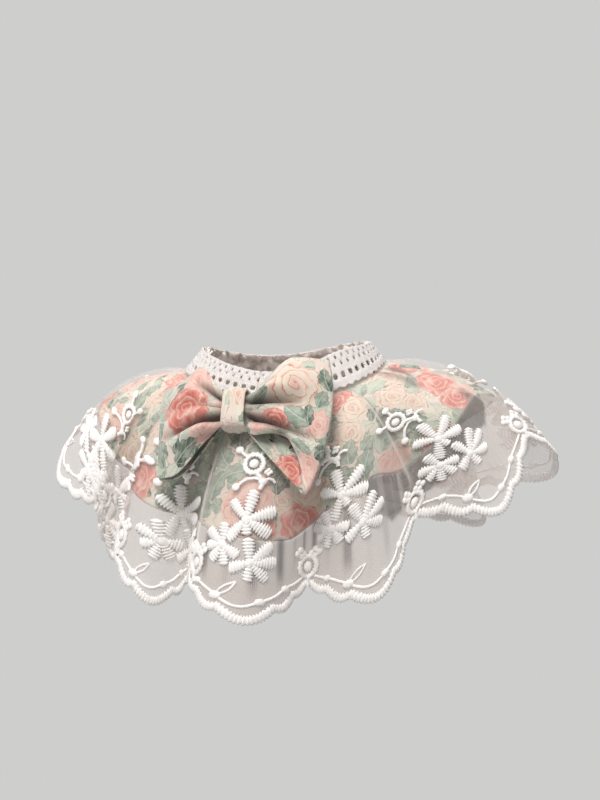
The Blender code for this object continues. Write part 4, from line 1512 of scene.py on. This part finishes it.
# %% Bow loops
# mm along the bow and up it, size, turn in degrees, tone
BOW_ROSES = (
    (-29, 2, 13.5, 30, 0.1), (28, 10.5, 12.5, 100, 0.9), (19.5, -10, 7.5, 10, 0.05), (-23, 20, 8.0, 60, 0.55),
    (-17, -19, 8.5, 30, 0.6), (40, -5, 5.5, 140, 0.6), (12, -19, 6.0, 60, 0.6), (-126, -24, 8.0, 20, 0.2),
    (42, -22, 5.0, 30, 0.6), (-9, 6, 4.5, 0, 0.6),
)
BOW_LEAVES = (
    (-29, -21, 8.0, 10, 0.9), (-45, -18, 5.5, 95, 0.7), (10, 11.5, 5.5, 150, 0.8), (41.5, 16, 6.5, 100, 0.9),
    (39.5, 6, 5.0, 60, 0.75), (29, -4, 8.0, 160, 0.8), (34, -2, 5.0, 100, 0.9), (36, -18, 5.5, 20, 0.8),
    (44, -14, 4.0, 60, 0.86), (-8, 14, 5.5, 140, 0.9), (-117, -16, 5.0, 30, 0.5), (-38, 16, 6.0, 60, 0.2),
    (-38, -25, 5.5, 30, 0.1), (25, -19, 4.5, 60, 0.7), (-36, -13, 5.0, 150, 0.1),
)
BOW_FLAT_HALF = 27.0
walk = np.linspace(0, 1, 721)
line_x, _, line_w = bow_loop(walk, np.zeros_like(walk))
walked = np.concatenate([[0], np.cumsum(np.hypot(np.diff(line_x), np.diff(line_w)))])
front_middle = np.interp(0.25, walk, walked)


def loop_place(u, v):
    return bow_place(*bow_loop(1 - u, 2 * v - 1))


def loop_flat(u, v):
    return np.stack([front_middle - np.interp(1 - u, walk, walked), (2 * v - 1) * BOW_FLAT_HALF], -1)


bow_cotton = cotton_material("printed_cotton_bow", BOW_ROSES, BOW_LEAVES, 0.0)
BOW_GRID = (200, 110)
bow = cloth_grid("bow_of_print", *BOW_GRID, loop_place, loop_flat)
u, v = grid_shares(bow, *BOW_GRID)
point_values(bow, "painted_shade", bow_painted_shade(1 - u, 2 * v - 1))
mend(bow)
finish_with(bow, ("SOLIDIFY", {"thickness": 0.7 * MM, "offset": 0}))
wear(bow, bow_cotton)
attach(bow, "root")
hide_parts("bow_loops")
print(count(bow))

# %% Bow knot
KNOT_PLEATS = ((-0.62, 0.45), (-0.25, -0.5), (0.12, 0.4), (0.5, -0.45), (0.78, 0.35))  # across, height in mm
KNOT_GRID, KNOT_CUT = (72, 28), (15, 60)  # columns and rows, and mm on the flat cut
# x and y on the flat cut in mm, size, turn in degrees, tone
KNOT_ROSES = ((4, 30, 7.5, 0, 0.6), (11, 3, 6.0, 60, 0.95))
KNOT_LEAVES = ((11, 20, 4.5, 70, 0.1), (3, 10, 4.5, 20, 0.2), (12, 32, 4, 120, 0.15))


def knot_place(u, v):
    """A band round the bow's middle; u goes round it and v across it."""
    angle, across = -TAU * u, 2 * v - 1
    crown = 0.35 - 1.0 * across**2
    lean = 0.06 * np.sin(3 * angle)
    pinch = sum(height * bell((across - at - lean) / 0.10) for at, height in KNOT_PLEATS)
    grow = crown + pinch * 0.7 - 0.35
    up = signed_power(np.sin(angle), 0.5) * (KNOT_HALF_HEIGHT + grow)
    out = signed_power(np.cos(angle), 0.5) * (KNOT_HALF_DEPTH + grow)
    waist = 1 - 0.07 * np.cos(angle) ** 2
    return bow_place(KNOT_SHIFT + across * KNOT_HALF_WIDTH * waist, up, out)


def knot_flat(u, v):
    width, round_it = KNOT_CUT
    return np.stack([v * width, round_it - u * round_it], -1)


knot_cotton = cotton_material("printed_cotton_knot", KNOT_ROSES, KNOT_LEAVES, 0.0, 0.25)
knot = cloth_grid("bow_knot_band", *KNOT_GRID, knot_place, knot_flat)
mend(knot)
finish_with(knot, ("SOLIDIFY", {"thickness": 0.8 * MM, "offset": -1}))
wear(knot, knot_cotton)
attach(knot, "root")
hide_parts("bow_knot")
print(count(knot))
